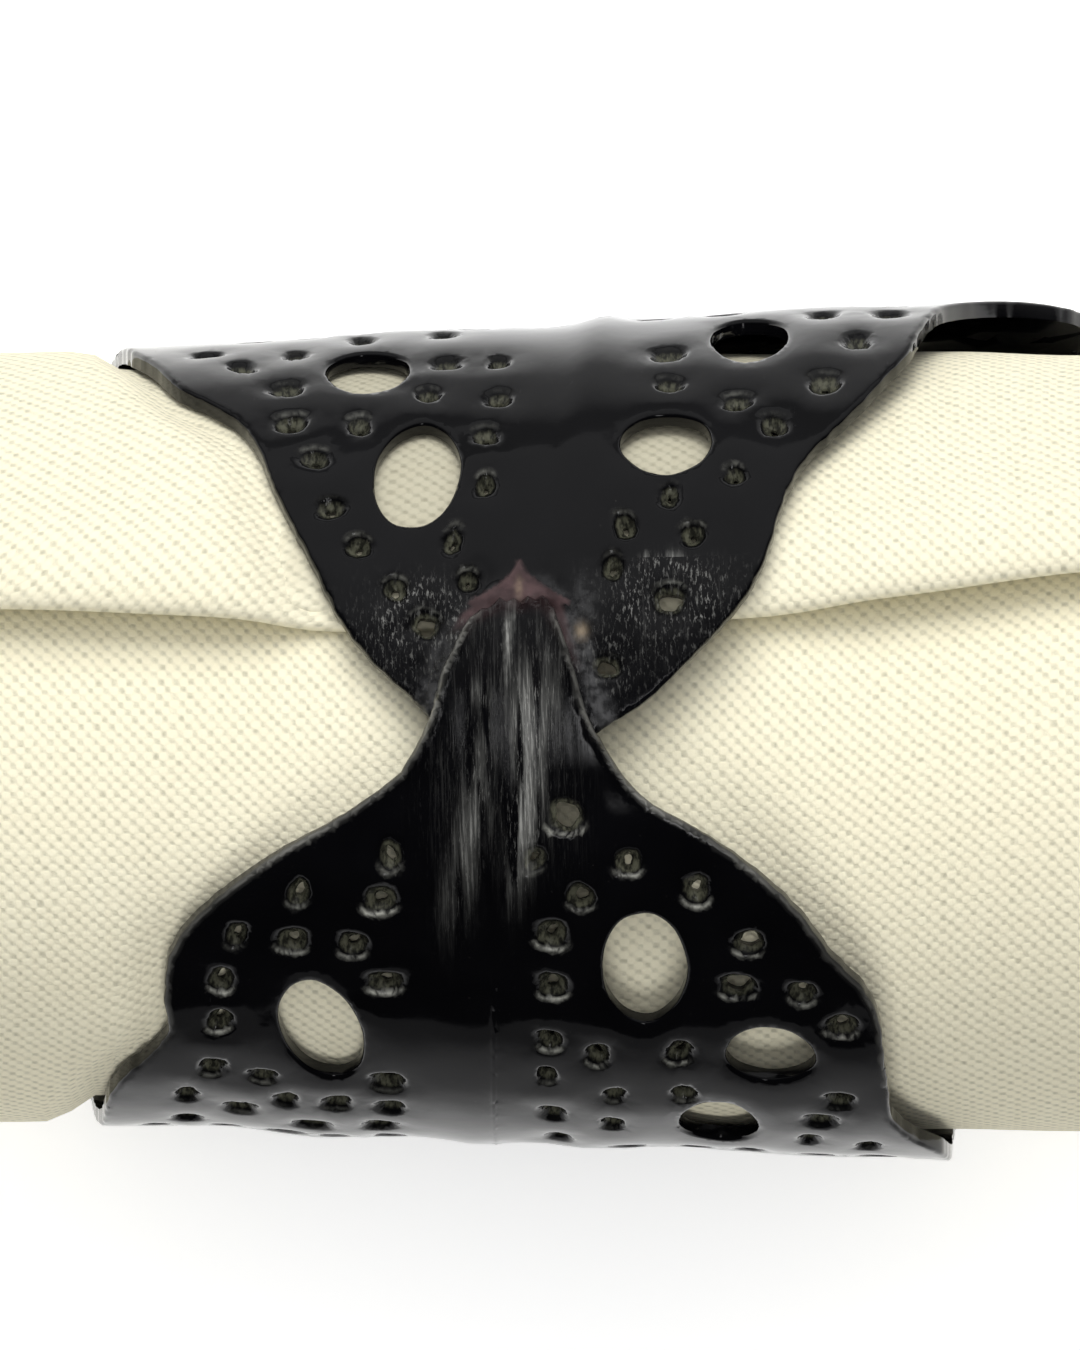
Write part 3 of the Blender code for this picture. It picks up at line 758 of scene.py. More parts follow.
def make_napkin(outline, mat):
    half = ROLL_LENGTH / 2
    end = half - 0.55
    mid = np.arange(-34, 34.01, 1.45)
    side = np.concatenate([np.arange(36.2, end - 1, 2.6), [end - 0.6, end]])
    xs_a = np.concatenate([-side[::-1], mid, side])
    xs_b = np.concatenate([[end], np.arange(end - 3, -end + 2, -5.2), [-end]])
    tau = np.linspace(0, 1, 6)[1:-1]
    cols_x = np.concatenate([xs_a, end + 0.39 * np.sin(math.pi * tau), xs_b])
    cols_l = np.concatenate([0 * xs_a, (1 - np.cos(math.pi * tau)) / 2, 0 * xs_b + 1])
    cols_q = np.concatenate([xs_a + half, half * 2 + (tau - 0.5) * 1.0, half * 2 + (half - xs_b)])
    w_near = np.concatenate([np.arange(0, 4.3, 0.3), np.arange(5.0, 166, 1.45), np.arange(170, 254.1, 4.0)])
    w_far = np.concatenate([np.arange(0.7, 4.6, 0.7), np.arange(6.5, 254.1, 6.0)])
    # the innermost strip is left off where the spiral has closed on itself
    to_phi = wrap_table()
    probe = np.arange(0.0, 260.0, 0.5)
    last = probe[to_phi(probe) < 899.9].max() - 1.0
    w_near, w_far = w_near[w_near < last], w_far[w_far < last]
    rows_w = np.concatenate([w_near[::-1], w_far])
    rows_s = np.concatenate([np.ones(len(w_near)), -np.ones(len(w_far))])
    W, X = np.meshgrid(rows_w, cols_x, indexing="ij")
    S = np.repeat(rows_s[:, None], len(cols_x), 1)
    L = np.repeat(cols_l[None, :], len(rows_w), 0)
    along, high = np.empty_like(W), np.empty_like(W)
    for j, share in enumerate(cols_l):
        run, al, hi = nose_line(share)
        w = rows_w
        along[:, j] = np.where(w < run[-1], np.interp(w, run, al), al[-1] + w - run[-1])
        high[:, j] = np.interp(w, run, hi)
    H = FOLD / 2 - S * high
    phi = to_phi(along)
    # the edge that shows is the middle of the nose, a little below the skin
    fold = roll_fold(X) + 2.9
    turn = fold + phi
    phi0 = np.mod(phi, 360.0)
    radius = roll_radius(X)
    a = np.radians(turn)
    down = smooth(0.0, 0.25, 1 + np.cos(a))
    free = smooth(20.0, 60.0, np.abs(X)) * down
    t2 = turn
    uneven = free * 0.35 * np.sin(np.radians(2 * t2 + 2.1 * X)) \
        + free * 0.25 * np.sin(np.radians(3 * t2 - 3.4 * X + 40))
    # soft troughs of cloth that isn't quite smooth
    arc = np.radians(turn) * 24.0
    soft = waves(31, 9, 14.0, 40.0, X, arc * 0.6) * 0.07 + waves(32, 8, 6.0, 14.0, X * 1.0, arc * 0.35) * 0.022
    uneven = uneven + soft * down
    # drawn ripples beside the ring, at the upper right
    tt = np.mod(turn + 180, 360) - 180
    rip = smooth(17.0, 21.0, X) * (1 - smooth(34.0, 46.0, X)) * smooth(28.0, 42.0, tt) * (1 - smooth(64.0, 84.0, tt))
    uneven = uneven + rip * 0.10 * np.sin(2 * math.pi * (X + 0.10 * (arc - 18)) / 3.7 + 0.6)
    rip = smooth(20.0, 24.0, -X) * (1 - smooth(34.0, 50.0, -X)) * smooth(-60.0, -40.0, tt) * (1 - smooth(-16.0, -4.0, tt))
    uneven = uneven + rip * 0.05 * np.sin(2 * math.pi * (X - 0.2 * arc) / 4.6)
    lift = 1.15 * (1 - smooth(2.0, 24.0, phi0)) * (1 + 0.18 * np.sin(X * 0.23 + 1.0))
    r_out = radius - FOLD * phi0 / 360 + uneven
    Z = FOLD * (phi - phi0) / 360 + H + core_pull(phi)
    # layers lie a little apart at the ends of the roll
    ends = smooth(96.0, 127.0, np.abs(X))
    Z = Z + ends * (0.10 + 0.5 * (phi > 300)) * 0.5 * np.sin(np.radians(3 * phi + 110 * L + 60 * S + X)) \
        * smooth(4.0, 40.0, W)
    Z = Z + ends * 0.9 * smooth(230.0, 420.0, phi) * (1 + 0.4 * np.sin(np.radians(turn * 2)))
    under = radius - FOLD * (180.0 - roll_fold(X)) / 360.0
    out = np.maximum(np.maximum(-31.0 - X, X - 37.0), 0.0)
    low = SHEET + NAP_CLEAR + CLOTH * 0.0
    low = low + (-NAP_FLAT - low) * smooth(1.0, SAG_REACH, out)
    axis_y = roll_axis(X)
    axis_z = low + under
    # how far the ring lets the cloth stand out here
    flat = np.stack([(np.mod(tt + 360 - 18.7, 360) - 360 + 18.7).ravel() * ARC, X.ravel()], 1)
    gap = np.full(len(flat), 9.0)
    look = (np.abs(X.ravel()) < 42) & (Z.ravel() < 14)
    idx = np.nonzero(look)[0]
    g = nearest(flat[idx], outline)
    g = np.where(within(flat[idx], outline), -g, g)
    # the tip lies under the stem, so look there too
    other = flat[idx] + np.where(flat[idx][:, :1] > -7 * ARC, -360 * ARC, 360 * ARC) * np.array([1.0, 0.0])
    g2 = nearest(other, outline)
    g2 = np.where(within(other, outline), -g2, g2)
    gap[idx] = np.minimum(g, g2)
    gap = gap.reshape(X.shape)
    Z = Z - lift * smooth(0.2, 6.5, gap) * (phi < 180)
    room = ring_radius(X) - SHEET - NAP_CLEAR + 0.05 * 0
    room = room + 0.75 * np.clip(gap - 0.15, 0, None)
    ring_z = ring_radius(X) - FLAT_DEPTH
    oy, oz = axis_y + r_out * np.sin(a), axis_z + r_out * np.cos(a)
    dist = np.hypot(oy, oz - ring_z)
    over = dist - room
    push = np.where(over > -0.4, 0.5 * (over + np.sqrt(over**2 + 0.10)) , 0.0)
    push = np.where(over > -0.4, push, 0.0) * (np.abs(X) < 60)
    push = push * (1 - smooth(38.0, 60.0, np.abs(X)))
    ny, nz = oy / dist, (oz - ring_z) / dist
    reach = FOLD + 8.8 * smooth(0.0, 60.0, phi0)
    share = np.clip(1 - Z / reach, 0, 1)
    r = r_out - Z
    y = axis_y + r * np.sin(a) - ny * push * share
    z = axis_z + r * np.cos(a) - nz * push * share
    base = (SHEET + NAP_CLEAR) * (1 - smooth(0.5, 6.0, out))
    z = np.maximum(z, base + Z * 0.9 * (np.cos(a) < 0))
    P = np.stack([X, y, z], -1)
    P[..., 0] += 0.18 * np.sin(arc * 0.11 + 1.3 * L) * smooth(118, 127, np.abs(X)) * np.sign(X) * -1.0
    # thickness
    dw = np.gradient(P, axis=0)
    dq = np.gradient(P, axis=1)
    n = np.cross(dw, dq)
    n /= np.maximum(np.linalg.norm(n, axis=-1, keepdims=True), 1e-9)
    # the near half's normal points away from the axis on its outer face
    k = (len(w_near) // 2, len(xs_a) // 2)
    centre = np.array([0, axis_y[k], axis_z[k]])
    rad = P[k] - centre
    rad[0] = 0
    if (n[k] * rad).sum() < 0:
        n = -n
        turned = True
    else:
        turned = False
    flat_s = np.where(S > 0, 254 - W, 254 + W)
    flat_q = np.repeat(cols_q[None, :], len(rows_w), 0)
    e = np.minimum(np.minimum(flat_s, 508 - flat_s), np.minimum(flat_q, 508 - flat_q))
    thick = CLOTH + (HEM - CLOTH) * (1 - smooth(HEM_WIDE - 0.5, HEM_WIDE + 0.3, e)) \
        - 0.25 * (1 - smooth(0.0, 0.8, e))
    P[..., 2] = np.maximum(P[..., 2], 0.02 + thick / 2)
    top = P + n * (thick / 2)[..., None]
    bot = P - n * (thick / 2)[..., None]
    top[..., 2] = np.maximum(top[..., 2], 0.02)
    bot[..., 2] = np.maximum(bot[..., 2], 0.02)
    R_, C_ = W.shape
    ids = np.arange(R_ * C_).reshape(R_, C_)
    q0, q1, q2, q3 = ids[:-1, :-1].ravel(), ids[1:, :-1].ravel(), ids[1:, 1:].ravel(), ids[:-1, 1:].ravel()
    upper = np.stack([q0, q1, q2, q3], 1)
    if turned:
        upper = upper[:, ::-1]
    N = R_ * C_
    lower = upper[:, ::-1] + N
    rim = np.concatenate([ids[0, :-1], ids[:-1, -1], ids[-1, :0:-1], ids[:0:-1, 0]])
    nxt = np.roll(rim, -1)
    walls = np.stack([rim, nxt, nxt + N, rim + N], 1)
    if turned:
        walls = walls[:, ::-1]
    faces = np.concatenate([upper, lower, walls])
    verts = np.concatenate([top.reshape(-1, 3), bot.reshape(-1, 3)])
    # the map for baking gives most of its room to the skin that shows
    us = np.interp(flat_q, [0, 254, 508], [0.004, 0.70, 0.79])
    vs = np.interp(flat_s, [0, 80, 254, 508], [0.996, 0.90, 0.10, 0.004])
    uv_top = np.stack([us, vs], -1).reshape(-1, 2)
    us2 = np.interp(flat_q, [0, 508], [0.81, 0.985])
    uv_bot = np.stack([us2, vs], -1).reshape(-1, 2)
    uv_all = np.concatenate([uv_top, uv_bot])
    uv = uv_all[faces].reshape(-1, 4, 2)
    m = len(walls)
    step = np.arange(m) / m
    wall_uv = np.stack([
        np.stack([0 * step + 0.990, 0.004 + 0.99 * step], 1),
        np.stack([0 * step + 0.990, 0.004 + 0.99 * (step + 1 / m)], 1),
        np.stack([0 * step + 0.996, 0.004 + 0.99 * (step + 1 / m)], 1),
        np.stack([0 * step + 0.996, 0.004 + 0.99 * step], 1)], 1)
    if turned:
        wall_uv = wall_uv[:, ::-1]
    uv[-m:] = wall_uv
    # thread counts: along the roll, and round it.  The upper left is pulled
    # askew by 14 degrees, the lower turn leans the other way by 4.
    lean = smooth(0.0, 60.0, 75.0 - W) * (S > 0)
    xk = X
    askew = np.where(xk < -16, xk + 16 + 6, np.where(xk < -4, -((-4 - xk) ** 2) / 24 + 0.0, 0.0))
    askew = np.where(xk < -16, (xk + 16) - 6.0, np.where(xk < -4, -((xk + 4) ** 2) / 24, 0.0))
    askew = -60.0 + 0 * askew + np.maximum(askew, -60.0) + 60.0
    skew_w = math.tan(math.radians(14)) * askew
    skew_x = -math.tan(math.radians(13)) * (W - 17.0) * (1 - smooth(-16.0, -2.0, xk)) * smooth(-120.0, -50.0, xk)
    U = (xk + lean * skew_x) / PITCH_X
    V = (-W + lean * skew_w + (1 - lean) * math.tan(math.radians(4)) * xk * 1.0) / PITCH_W
    V = V + waves(51, 6, 20.0, 60.0, X, W) * 0.6
    U = U + waves(52, 6, 20.0, 60.0, X, W) * 0.5
    weave = np.stack([U, V, 0 * U], -1).reshape(-1, 3)
    weave2 = weave.copy()
    weave2[:, 2] = 40
    # painted shade under the ring, stronger on the upper side
    painted_ring_shade = (smooth(0.3, 2.4, -gap) * (0.22 + 0.78 * smooth(-14.0, 6.0, y)) * (Z < 5)).ravel()
    fields = dict(weave=np.concatenate([weave, weave2]), painted_ring_shade=np.concatenate([painted_ring_shade, painted_ring_shade]))
    obj = make_piece("rolled_napkin", verts, faces.tolist(), uv.reshape(-1, 2), fields, mat, 0)
    return obj, len(faces) * 2


# ------------------------------------------------------------ node helpers
class Graph:
    """Short names for the nodes of one material."""

    def __init__(self, name):
        self.mat = bpy.data.materials.new(name)
        self.mat.use_nodes = True
        self.tree = self.mat.node_tree
        self.bsdf = self.tree.nodes["Principled BSDF"]

    def node(self, kind, **props):
        n = self.tree.nodes.new(kind)
        for k, v in props.items():
            setattr(n, k, v)
        return n

    def put(self, socket, value):
        if isinstance(value, bpy.types.NodeSocket):
            self.tree.links.new(value, socket)
        elif value is not None:
            socket.default_value = value

    def math(self, op, a, b=None, c=None, clamp=False):
        n = self.node("ShaderNodeMath", operation=op, use_clamp=clamp)
        for s, v in zip(n.inputs, (a, b, c)):
            self.put(s, v)
        return n.outputs[0]

    def ramp(self, value, lo, hi, out_lo=0.0, out_hi=1.0, kind="SMOOTHSTEP"):
        n = self.node("ShaderNodeMapRange", interpolation_type=kind)
        self.put(n.inputs["Value"], value)
        for key, v in (("From Min", lo), ("From Max", hi), ("To Min", out_lo), ("To Max", out_hi)):
            self.put(n.inputs[key], v)
        return n.outputs[0]

    def mix(self, fac, a, b):
        n = self.node("ShaderNodeMix", data_type="RGBA")
        self.put(n.inputs[0], fac)
        self.put(n.inputs[6], a)
        self.put(n.inputs[7], b)
        return n.outputs[2]

    def scaled(self, vector, scale, move=(0, 0, 0)):
        n = self.node("ShaderNodeMapping")
        self.put(n.inputs["Vector"], vector)
        n.inputs["Scale"].default_value = scale
        n.inputs["Location"].default_value = move
        return n.outputs[0]

    def noise(self, vector, scale=1.0, detail=2.0, rough=0.5):
        n = self.node("ShaderNodeTexNoise")
        self.put(n.inputs["Vector"], vector)
        n.inputs["Scale"].default_value = scale
        n.inputs["Detail"].default_value = detail
        n.inputs["Roughness"].default_value = rough
        return n.outputs["Fac"]

    def field(self, name):
        n = self.node("ShaderNodeAttribute", attribute_name=name)
        return n

    def split(self, vector):
        n = self.node("ShaderNodeSeparateXYZ")
        self.put(n.inputs[0], vector)
        return n.outputs

    def join(self, x, y, z=0.0):
        n = self.node("ShaderNodeCombineXYZ")
        for s, v in zip(n.inputs, (x, y, z)):
            self.put(s, v)
        return n.outputs[0]

    def bump(self, height, distance, strength=1.0, normal=None):
        n = self.node("ShaderNodeBump")
        self.put(n.inputs["Height"], height)
        n.inputs["Distance"].default_value = distance
        n.inputs["Strength"].default_value = strength
        self.put(n.inputs["Normal"], normal)
        return n.outputs[0]


def cloth_material():
    g = Graph("napkin_cloth")
    m = g.math
    threads = g.field("weave").outputs["Vector"]
    wob_u = m("MULTIPLY", m("SUBTRACT", g.noise(g.scaled(threads, (0.9, 0.10, 1.0)), 1.0, 3.0, 0.6), 0.5), 0.85)
    wob_v = m("MULTIPLY", m("SUBTRACT", g.noise(g.scaled(threads, (0.10, 0.9, 1.0), (37, 11, 3)), 1.0, 3.0, 0.6), 0.5), 0.85)
    su, sv, _ = g.split(threads)
    U, V = m("ADD", su, wob_u), m("ADD", sv, wob_v)
    iu, iv = m("ROUND", U), m("ROUND", V)
    fu, fv = m("SUBTRACT", U, iu), m("SUBTRACT", V, iv)
    pi = math.pi
    ci = m("COSINE", m("MULTIPLY", iu, pi))
    cj = m("COSINE", m("MULTIPLY", iv, pi))
    warp = m("ADD", m("MULTIPLY", m("COSINE", m("MULTIPLY", fu, pi)), 0.60),
             m("MULTIPLY", m("MULTIPLY", m("COSINE", m("MULTIPLY", V, pi)), ci), 0.36))
    weft = m("SUBTRACT", m("MULTIPLY", m("COSINE", m("MULTIPLY", fv, pi)), 0.60),
             m("MULTIPLY", m("MULTIPLY", m("COSINE", m("MULTIPLY", U, pi)), cj), 0.36))
    weft = m("SUBTRACT", weft, 0.08)
    top = m("SMOOTH_MAX", warp, weft, 0.35)
    # each thread its own thickness and shade
    thread_u = g.noise(g.join(m("MULTIPLY", iu, 7.31), m("MULTIPLY", V, 0.035), 1.0), 1.0, 1.0)
    thread_v = g.noise(g.join(m("MULTIPLY", U, 0.035), m("MULTIPLY", iv, 7.31), 9.0), 1.0, 1.0)
    slub = m("SUBTRACT", m("MULTIPLY", m("ADD", thread_u, thread_v), 0.5), 0.5)
    # painted shade: the crossings where the lower threads dip are coloured as dark pits, and the twist of the yarn
    # leaves one diagonal run brighter than the other as it catches the light
    cc = m("ADD", m("MULTIPLY", m("COSINE", m("MULTIPLY", m("ADD", U, V), pi)), 0.40),
           m("MULTIPLY", m("COSINE", m("MULTIPLY", m("SUBTRACT", U, V), pi)), 0.60))
    pit_shade = g.ramp(m("MULTIPLY", cc, -1.0), -0.28, 1.0)
    pit_shade = m("MULTIPLY", pit_shade, g.ramp(g.noise(g.scaled(threads, (0.62, 0.62, 1)), 1.0, 4.0, 0.7), 0.30, 0.68, 0.22, 1.25, "LINEAR"))
    gap = g.ramp(top, 0.62, 0.18)
    fibre = g.noise(g.scaled(threads, (2.6, 2.6, 1.0)), 1.0, 3.0, 0.65)
    height = m("ADD", m("SUBTRACT", m("MULTIPLY", top, 0.55), m("MULTIPLY", pit_shade, 0.70)),
               m("ADD", m("MULTIPLY", slub, 0.9), m("MULTIPLY", fibre, 0.35)))
    cloud = g.noise(g.scaled(threads, (0.022, 0.022, 1.0)), 1.0, 3.0)
    light = g.mix(g.ramp(cloud, 0.3, 0.7, 0, 1, "LINEAR"), (0.895, 0.852, 0.655, 1), (0.920, 0.884, 0.695, 1))
    light = g.mix(m("ADD", m("MULTIPLY", slub, 1.6), 0.42, clamp=True), (0.862, 0.808, 0.612, 1), light)
    shade = g.mix(m("MULTIPLY", pit_shade, 0.60, clamp=True), light, (0.345, 0.330, 0.245, 1))
    # painted shade between the threads where the upper thread falls away
    shade = g.mix(m("MULTIPLY", gap, 0.07, clamp=True), shade, (0.52, 0.47, 0.33, 1))
    shade = g.mix(m("MULTIPLY", m("SUBTRACT", fibre, 0.35, clamp=True), 0.55), shade, (0.74, 0.685, 0.50, 1))
    # painted shade on the cloth where the ring lies over it
    painted_ring_shade = g.field("painted_ring_shade").outputs["Fac"]
    shade = g.mix(painted_ring_shade, shade, g.mix(0.5, shade, (0.14, 0.13, 0.095, 1)))
    b = g.bsdf
    g.put(b.inputs["Base Color"], shade)
    g.put(b.inputs["Roughness"], g.ramp(fibre, 0.2, 0.8, 0.86, 0.97, "LINEAR"))
    b.inputs["Specular IOR Level"].default_value = 0.25
    b.inputs["Sheen Weight"].default_value = 0.10
    b.inputs["Sheen Roughness"].default_value = 0.5
    b.inputs["Sheen Tint"].default_value = (1.0, 0.97, 0.88, 1.0)
    g.put(b.inputs["Normal"], g.bump(height, 0.00010, 0.55))
    return g.mat


def lacquer_material():
    g = Graph("ring_lacquer")
    m = g.math
    leaf = g.field("leaf").outputs["Vector"]
    brushed = g.field("brushed").outputs["Fac"]
    braze = g.field("braze").outputs["Fac"]
    solder = g.field("solder").outputs["Fac"]
    painted_edge_glint = g.field("painted_edge_glint").outputs["Fac"]
    press = g.field("press").outputs["Fac"]
    u, v, w = g.split(leaf)
    # streaks run along the leaf
    streak_co = g.join(m("MULTIPLY", u, 0.16), m("ADD", m("MULTIPLY", v, 4.2), m("MULTIPLY", u, 0.12)), w)
    painted_sheen = g.field("painted_sheen").outputs["Fac"]
    copper = g.field("copper").outputs["Fac"]
    fine = g.noise(streak_co, 1.6, 5.0, 0.72)
    patchy = g.noise(g.scaled(leaf, (1.5, 1.5, 1.0)), 1.0, 3.0, 0.6)
    broad = g.noise(g.join(m("MULTIPLY", u, 0.10), m("ADD", m("MULTIPLY", v, 1.05), m("MULTIPLY", u, 0.04)), 7.0), 1.0, 3.0, 0.6)
    rake = g.noise(g.join(m("MULTIPLY", u, 0.75), m("MULTIPLY", v, 6.5), 2.0), 1.0, 4.0, 0.78)
    lines = g.ramp(fine, 0.47, 0.64)
    strokes = g.ramp(rake, 0.53, 0.66)
    # drawn metal showing through, dim over the brushed parts; painted highlight in the bright streaks where the
    # sheen falls on the stem
    nick = g.ramp(g.noise(g.join(m("ADD", m("MULTIPLY", u, 1.7), m("MULTIPLY", v, 0.5)), m("MULTIPLY", v, 5.2), 3.0), 1.0, 3.0, 0.7), 0.52, 0.66)
    tip = m("LESS_THAN", u, -335.0 * ARC)
    strokes = m("ADD", m("MULTIPLY", nick, tip), m("MULTIPLY", strokes, m("SUBTRACT", 1.0, tip)))
    lines = m("MULTIPLY", lines, m("SUBTRACT", 1.0, m("MULTIPLY", tip, 0.7)))
    dim = m("MULTIPLY", m("MULTIPLY", brushed, m("MAXIMUM", strokes, m("MULTIPLY", lines, g.ramp(broad, 0.42, 0.62)))), m("ADD", 0.045, m("MULTIPLY", m("MULTIPLY", tip, g.ramp(patchy, 0.38, 0.62)), 0.12)))
    soft = m("MULTIPLY", g.ramp(broad, 0.40, 0.60), m("SUBTRACT", 1.0, tip))
    # painted highlight: the sheen streaks, laid into the colour
    painted_sheen_streaks = m("MULTIPLY", painted_sheen, m("ADD", m("MULTIPLY", m("ADD", m("MULTIPLY", lines, 0.60), 0.22), soft), m("MULTIPLY", strokes, 0.35)))
    wear_and_sheen = m("ADD", dim, painted_sheen_streaks, clamp=True)
    scratch = g.ramp(g.noise(g.join(m("MULTIPLY", u, 0.9), m("MULTIPLY", v, 9.0), 4.0), 1.0, 2.0, 0.6), 0.70, 0.78)
    speck = g.ramp(g.noise(g.scaled(leaf, (2.3, 2.3, 1.0)), 1.0, 2.0, 0.7), 0.70, 0.80)
    cloud = g.noise(g.scaled(leaf, (0.16, 0.16, 1.0)), 1.0, 3.0)
    black = g.mix(g.ramp(cloud, 0.3, 0.7, 0, 1, "LINEAR"), (0.0010, 0.0010, 0.0014, 1), (0.0020, 0.0020, 0.0026, 1))
    # a warm olive tone in streaks on the deeper pressed-in walls
    streaky = g.noise(g.join(m("MULTIPLY", u, 1.6), m("MULTIPLY", v, 3.4), m("MULTIPLY", press, 2.0)), 1.0, 3.0, 0.6)
    olive = m("MULTIPLY", g.ramp(press, 0.34, 0.62), g.ramp(streaky, 0.36, 0.64, 0.15, 1.0))
    black = g.mix(m("MULTIPLY", olive, 0.85), black, (0.088, 0.088, 0.062, 1))
    painted_lip_glint = g.field("painted_lip_glint").outputs["Fac"]
    grey = g.mix(m("MULTIPLY", wear_and_sheen, 0.95, clamp=True), black, (0.52, 0.52, 0.49, 1))
    # painted highlight along the cut edges
    grey = g.mix(m("MULTIPLY", m("MULTIPLY", painted_edge_glint, g.ramp(cloud, 0.38, 0.60, 0.35, 1.0)), 0.65), grey, (0.36, 0.355, 0.325, 1))
    # painted highlight: bright crescents on the lips of the pressed holes
    grey = g.mix(m("MULTIPLY", m("MULTIPLY", painted_lip_glint, g.ramp(patchy, 0.36, 0.62, 0.25, 1.0)), 0.95, clamp=True), grey, (0.36, 0.36, 0.32, 1))
    grey = g.mix(m("MULTIPLY", solder, m("ADD", 0.10, m("MULTIPLY", g.ramp(patchy, 0.35, 0.65), 0.55))), grey, (0.070, 0.070, 0.072, 1))
    brown = g.mix(g.ramp(g.noise(g.scaled(leaf, (0.7, 0.7, 1.0)), 1.0, 3.0, 0.5), 0.35, 0.65), (0.044, 0.026, 0.027, 1), (0.084, 0.050, 0.051, 1))
    tone = g.mix(m("MULTIPLY", braze, m("ADD", 0.55, m("MULTIPLY", patchy, 0.6)), clamp=True), grey, brown)
    tone = g.mix(m("MULTIPLY", copper, 0.55, clamp=True), tone, (0.34, 0.26, 0.17, 1))
    tone = g.mix(m("MULTIPLY", speck, 0.05), tone, (0.20, 0.19, 0.17, 1))
    b = g.bsdf
    g.put(b.inputs["Base Color"], tone)
    b.inputs["IOR"].default_value = 1.40
    rough = m("ADD", 0.065, m("MULTIPLY", cloud, 0.05))
    rough = m("ADD", rough, m("MULTIPLY", brushed, 0.05))
    rough = m("ADD", rough, m("MULTIPLY", painted_lip_glint, 0.20))
    rough = m("ADD", rough, m("MULTIPLY", solder, 0.26))
    rough = m("ADD", rough, m("MULTIPLY", braze, 0.30))
    rough = m("ADD", rough, m("MULTIPLY", olive, 0.12))
    rough = m("ADD", rough, m("MULTIPLY", m("ADD", scratch, speck, clamp=True), 0.10), clamp=True)
    g.put(b.inputs["Roughness"], rough)
    g.put(b.inputs["Metallic"], m("MULTIPLY", wear_and_sheen, 0.45, clamp=True))
    # relief too fine for the mesh: streaks, rake marks, orange peel
    h = m("MULTIPLY", m("ADD", fine, m("MULTIPLY", rake, 0.9)), m("MULTIPLY", brushed, m("ADD", 0.25, m("MULTIPLY", tip, 0.5))))
    peel = g.noise(g.scaled(leaf, (0.9, 0.9, 1.0)), 1.0, 2.0, 0.45)
    h = m("ADD", h, m("MULTIPLY", peel, 0.10))
    rag = g.noise(g.scaled(leaf, (3.0, 3.0, 1.0)), 1.0, 2.0, 0.6)
    h = m("ADD", h, m("MULTIPLY", m("MULTIPLY", rag, g.ramp(press, 0.12, 0.4)), 0.7))
    h = m("ADD", h, m("MULTIPLY", scratch, 0.08))
    h = m("ADD", h, m("MULTIPLY", m("MULTIPLY", rag, m("MAXIMUM", solder, braze)), 0.15))
    g.put(b.inputs["Normal"], g.bump(h, 0.00007, 0.85))
    return g.mat


# ------------------------------------------------------------ build the pieces
cloth = cloth_material()
lacquer = lacquer_material()
ring, outline, ring_faces = make_ring(lacquer)
napkin, napkin_faces = make_napkin(outline, cloth)
print("faces: ring", ring_faces, "napkin triangles", napkin_faces)

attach(ring, "root")
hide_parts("ring")
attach(napkin, "root")
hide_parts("napkin")


# ------------------------------------------------------------ floor and light
def floor_material():
    g = Graph("floor_paint")
    pos = g.node("ShaderNodeTexCoord").outputs["Object"]
    tone = g.mix(g.noise(pos, 3.0, 2.0), (0.93, 0.93, 0.93, 1), (0.95, 0.95, 0.95, 1))
    # painted light: the white sheet's colour and glow are bright along the roll and fall off to pale grey beyond it
    away = g.math("ABSOLUTE", g.split(pos)[1])
    tone = g.mix(g.ramp(away, 0.038, 0.085), tone, (0.31, 0.31, 0.312, 1))
    tone = g.mix(g.ramp(away, 0.070, 0.320), tone, (0.11, 0.11, 0.111, 1))
    g.put(g.bsdf.inputs["Base Color"], tone)
    # painted light: the floor glows with its own colour
    g.put(g.bsdf.inputs["Emission Color"], tone)
    g.bsdf.inputs["Emission Strength"].default_value = 0.50
    g.bsdf.inputs["Roughness"].default_value = 0.9
    g.bsdf.inputs["Specular IOR Level"].default_value = 0.1
    return g.mat


mesh = bpy.data.meshes.new("studio_floor")
s = 2.2
mesh.from_pydata([(-s, -s, 0), (s, -s, 0), (s, s, 0), (-s, s, 0)], [], [(0, 1, 2, 3)])
mesh.materials.append(floor_material())
floor = bpy.data.objects.new("studio_floor", mesh)
floor.location.z = -0.00005
bpy.context.scene.collection.objects.link(floor)


def area(name, at, size, power, glossy=True, look=(0.0, 0.0, 0.03), color=(1, 1, 1), size_y=None):
    data = bpy.data.lights.new(name, "AREA")
    data.shape = "RECTANGLE"
    data.size = size
    data.size_y = size_y or size
    data.energy = power
    data.color = color
    lamp = bpy.data.objects.new(name, data)
    lamp.location = at
    lamp.rotation_mode = "QUATERNION"
    lamp.rotation_quaternion = (Vector(at) - Vector(look)).to_track_quat("Z", "Y")
    lamp.visible_camera = False
    lamp.visible_glossy = glossy
    bpy.context.scene.collection.objects.link(lamp)
    return lamp


area("soft_wall", (0.0, 1.45, 1.30), 1.2, 23.5, False)
area("soft_top", (0.0, 0.65, 1.8), 2.6, 29.5, False)
area("soft_front", (0.0, -1.5, 0.9), 1.0, 12.5, False)

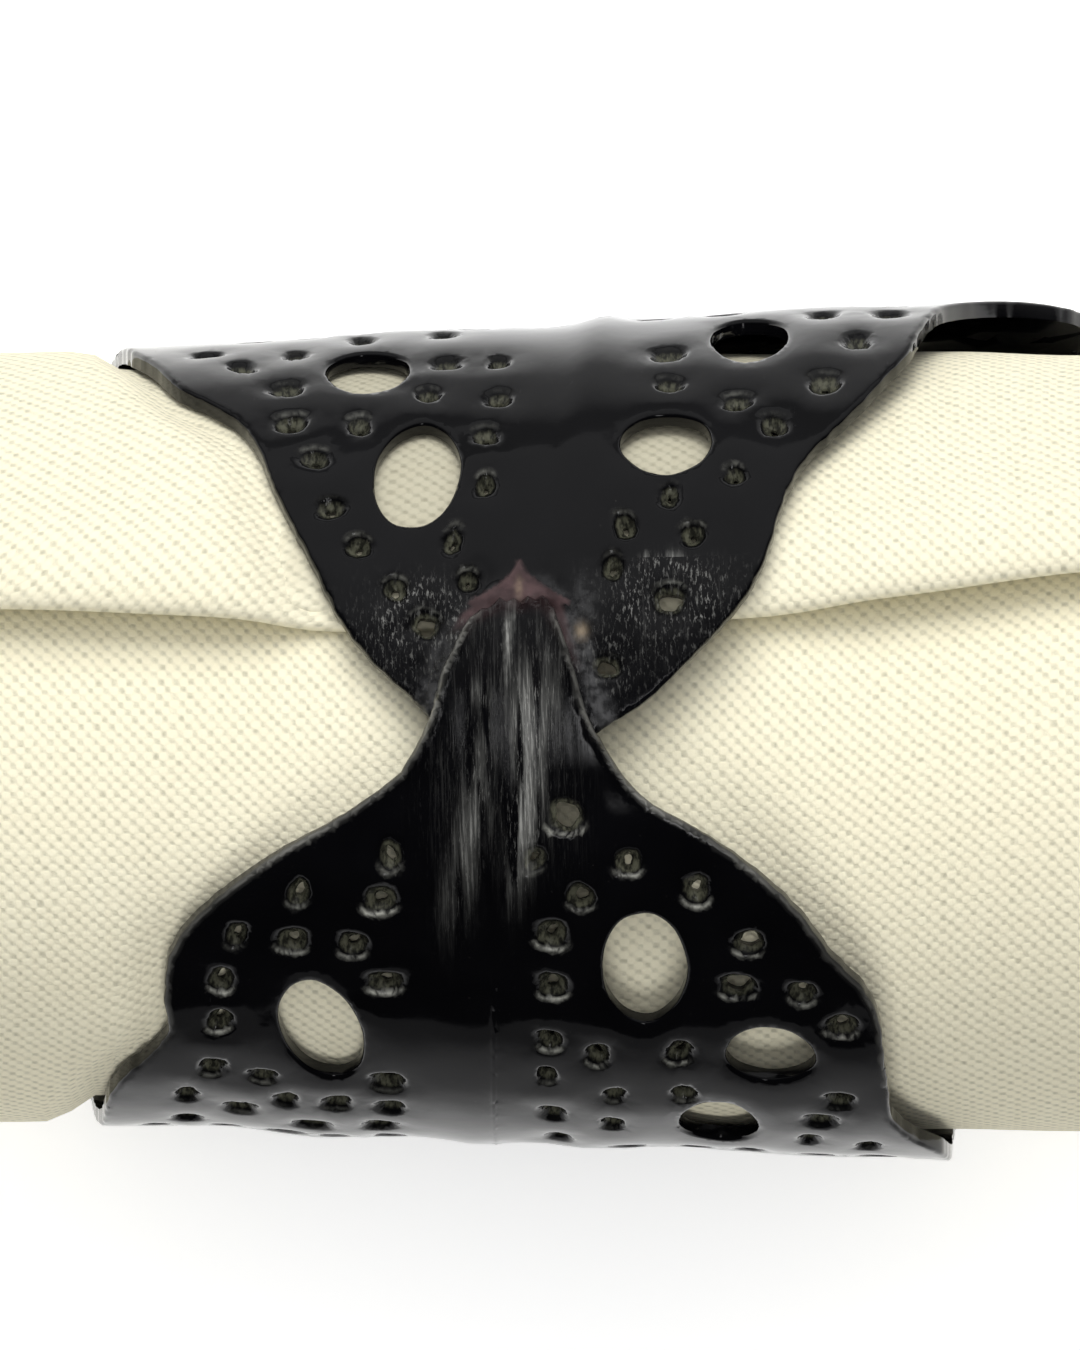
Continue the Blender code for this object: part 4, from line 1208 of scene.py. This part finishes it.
world = bpy.data.worlds.new("studio")
world.use_nodes = True
bpy.context.scene.world = world
wt = world.node_tree
bg = wt.nodes["Background"]
co = wt.nodes.new("ShaderNodeTexCoord")
sep = wt.nodes.new("ShaderNodeSeparateXYZ")
wt.links.new(co.outputs["Generated"], sep.inputs[0])
rng_y = wt.nodes.new("ShaderNodeMapRange")
rng_y.interpolation_type = "SMOOTHSTEP"
rng_y.inputs["From Min"].default_value = 0.06
rng_y.inputs["From Max"].default_value = 0.80
rng_y.inputs["To Min"].default_value = 0.015
rng_y.inputs["To Max"].default_value = 0.50
wt.links.new(sep.outputs[1], rng_y.inputs["Value"])


def sky(op, a, b):
    n = wt.nodes.new("ShaderNodeMath")
    n.operation = op
    for s_, v in zip(n.inputs, (a, b)):
        if isinstance(v, bpy.types.NodeSocket):
            wt.links.new(v, s_)
        else:
            s_.default_value = v
    return n.outputs[0]


def fading(value, near, far):
    n = wt.nodes.new("ShaderNodeMapRange")
    n.interpolation_type = "SMOOTHSTEP"
    wt.links.new(value, n.inputs["Value"])
    for key, v in (("From Min", near), ("From Max", far), ("To Min", 1.0), ("To Max", 0.0)):
        n.inputs[key].default_value = v
    return n.outputs[0]


# a soft-edged overhead glow: the sheen on the stem
glow = sky("MULTIPLY", fading(sky("ABSOLUTE", sep.outputs[0], 0.0), 0.01, 0.12),
           fading(sky("ABSOLUTE", sky("ADD", sep.outputs[1], 0.0), 0.0), 0.0, 0.21))
glow = sky("MULTIPLY", glow, sky("GREATER_THAN", sep.outputs[2], 0.0))
wt.links.new(sky("ADD", rng_y.outputs[0], sky("MULTIPLY", glow, 4.6)), bg.inputs["Strength"])
bg.inputs["Color"].default_value = (1.0, 1.0, 1.01, 1.0)

cam_data = bpy.data.cameras.new("camera")
cam_data.lens = 900.0
cam_data.sensor_width = 36.0
cam_data.clip_start, cam_data.clip_end = 0.05, 20.0
cam = bpy.data.objects.new("camera", cam_data)
cam.location = (0.0, 0.00348 - MID_Y * MM, 0.0245 + 900.0 * 0.081 / 36.0)
bpy.context.scene.collection.objects.link(cam)
bpy.context.scene.camera = cam
bpy.context.scene.view_settings.view_transform = "Standard"
bpy.context.scene.view_settings.look = "None"
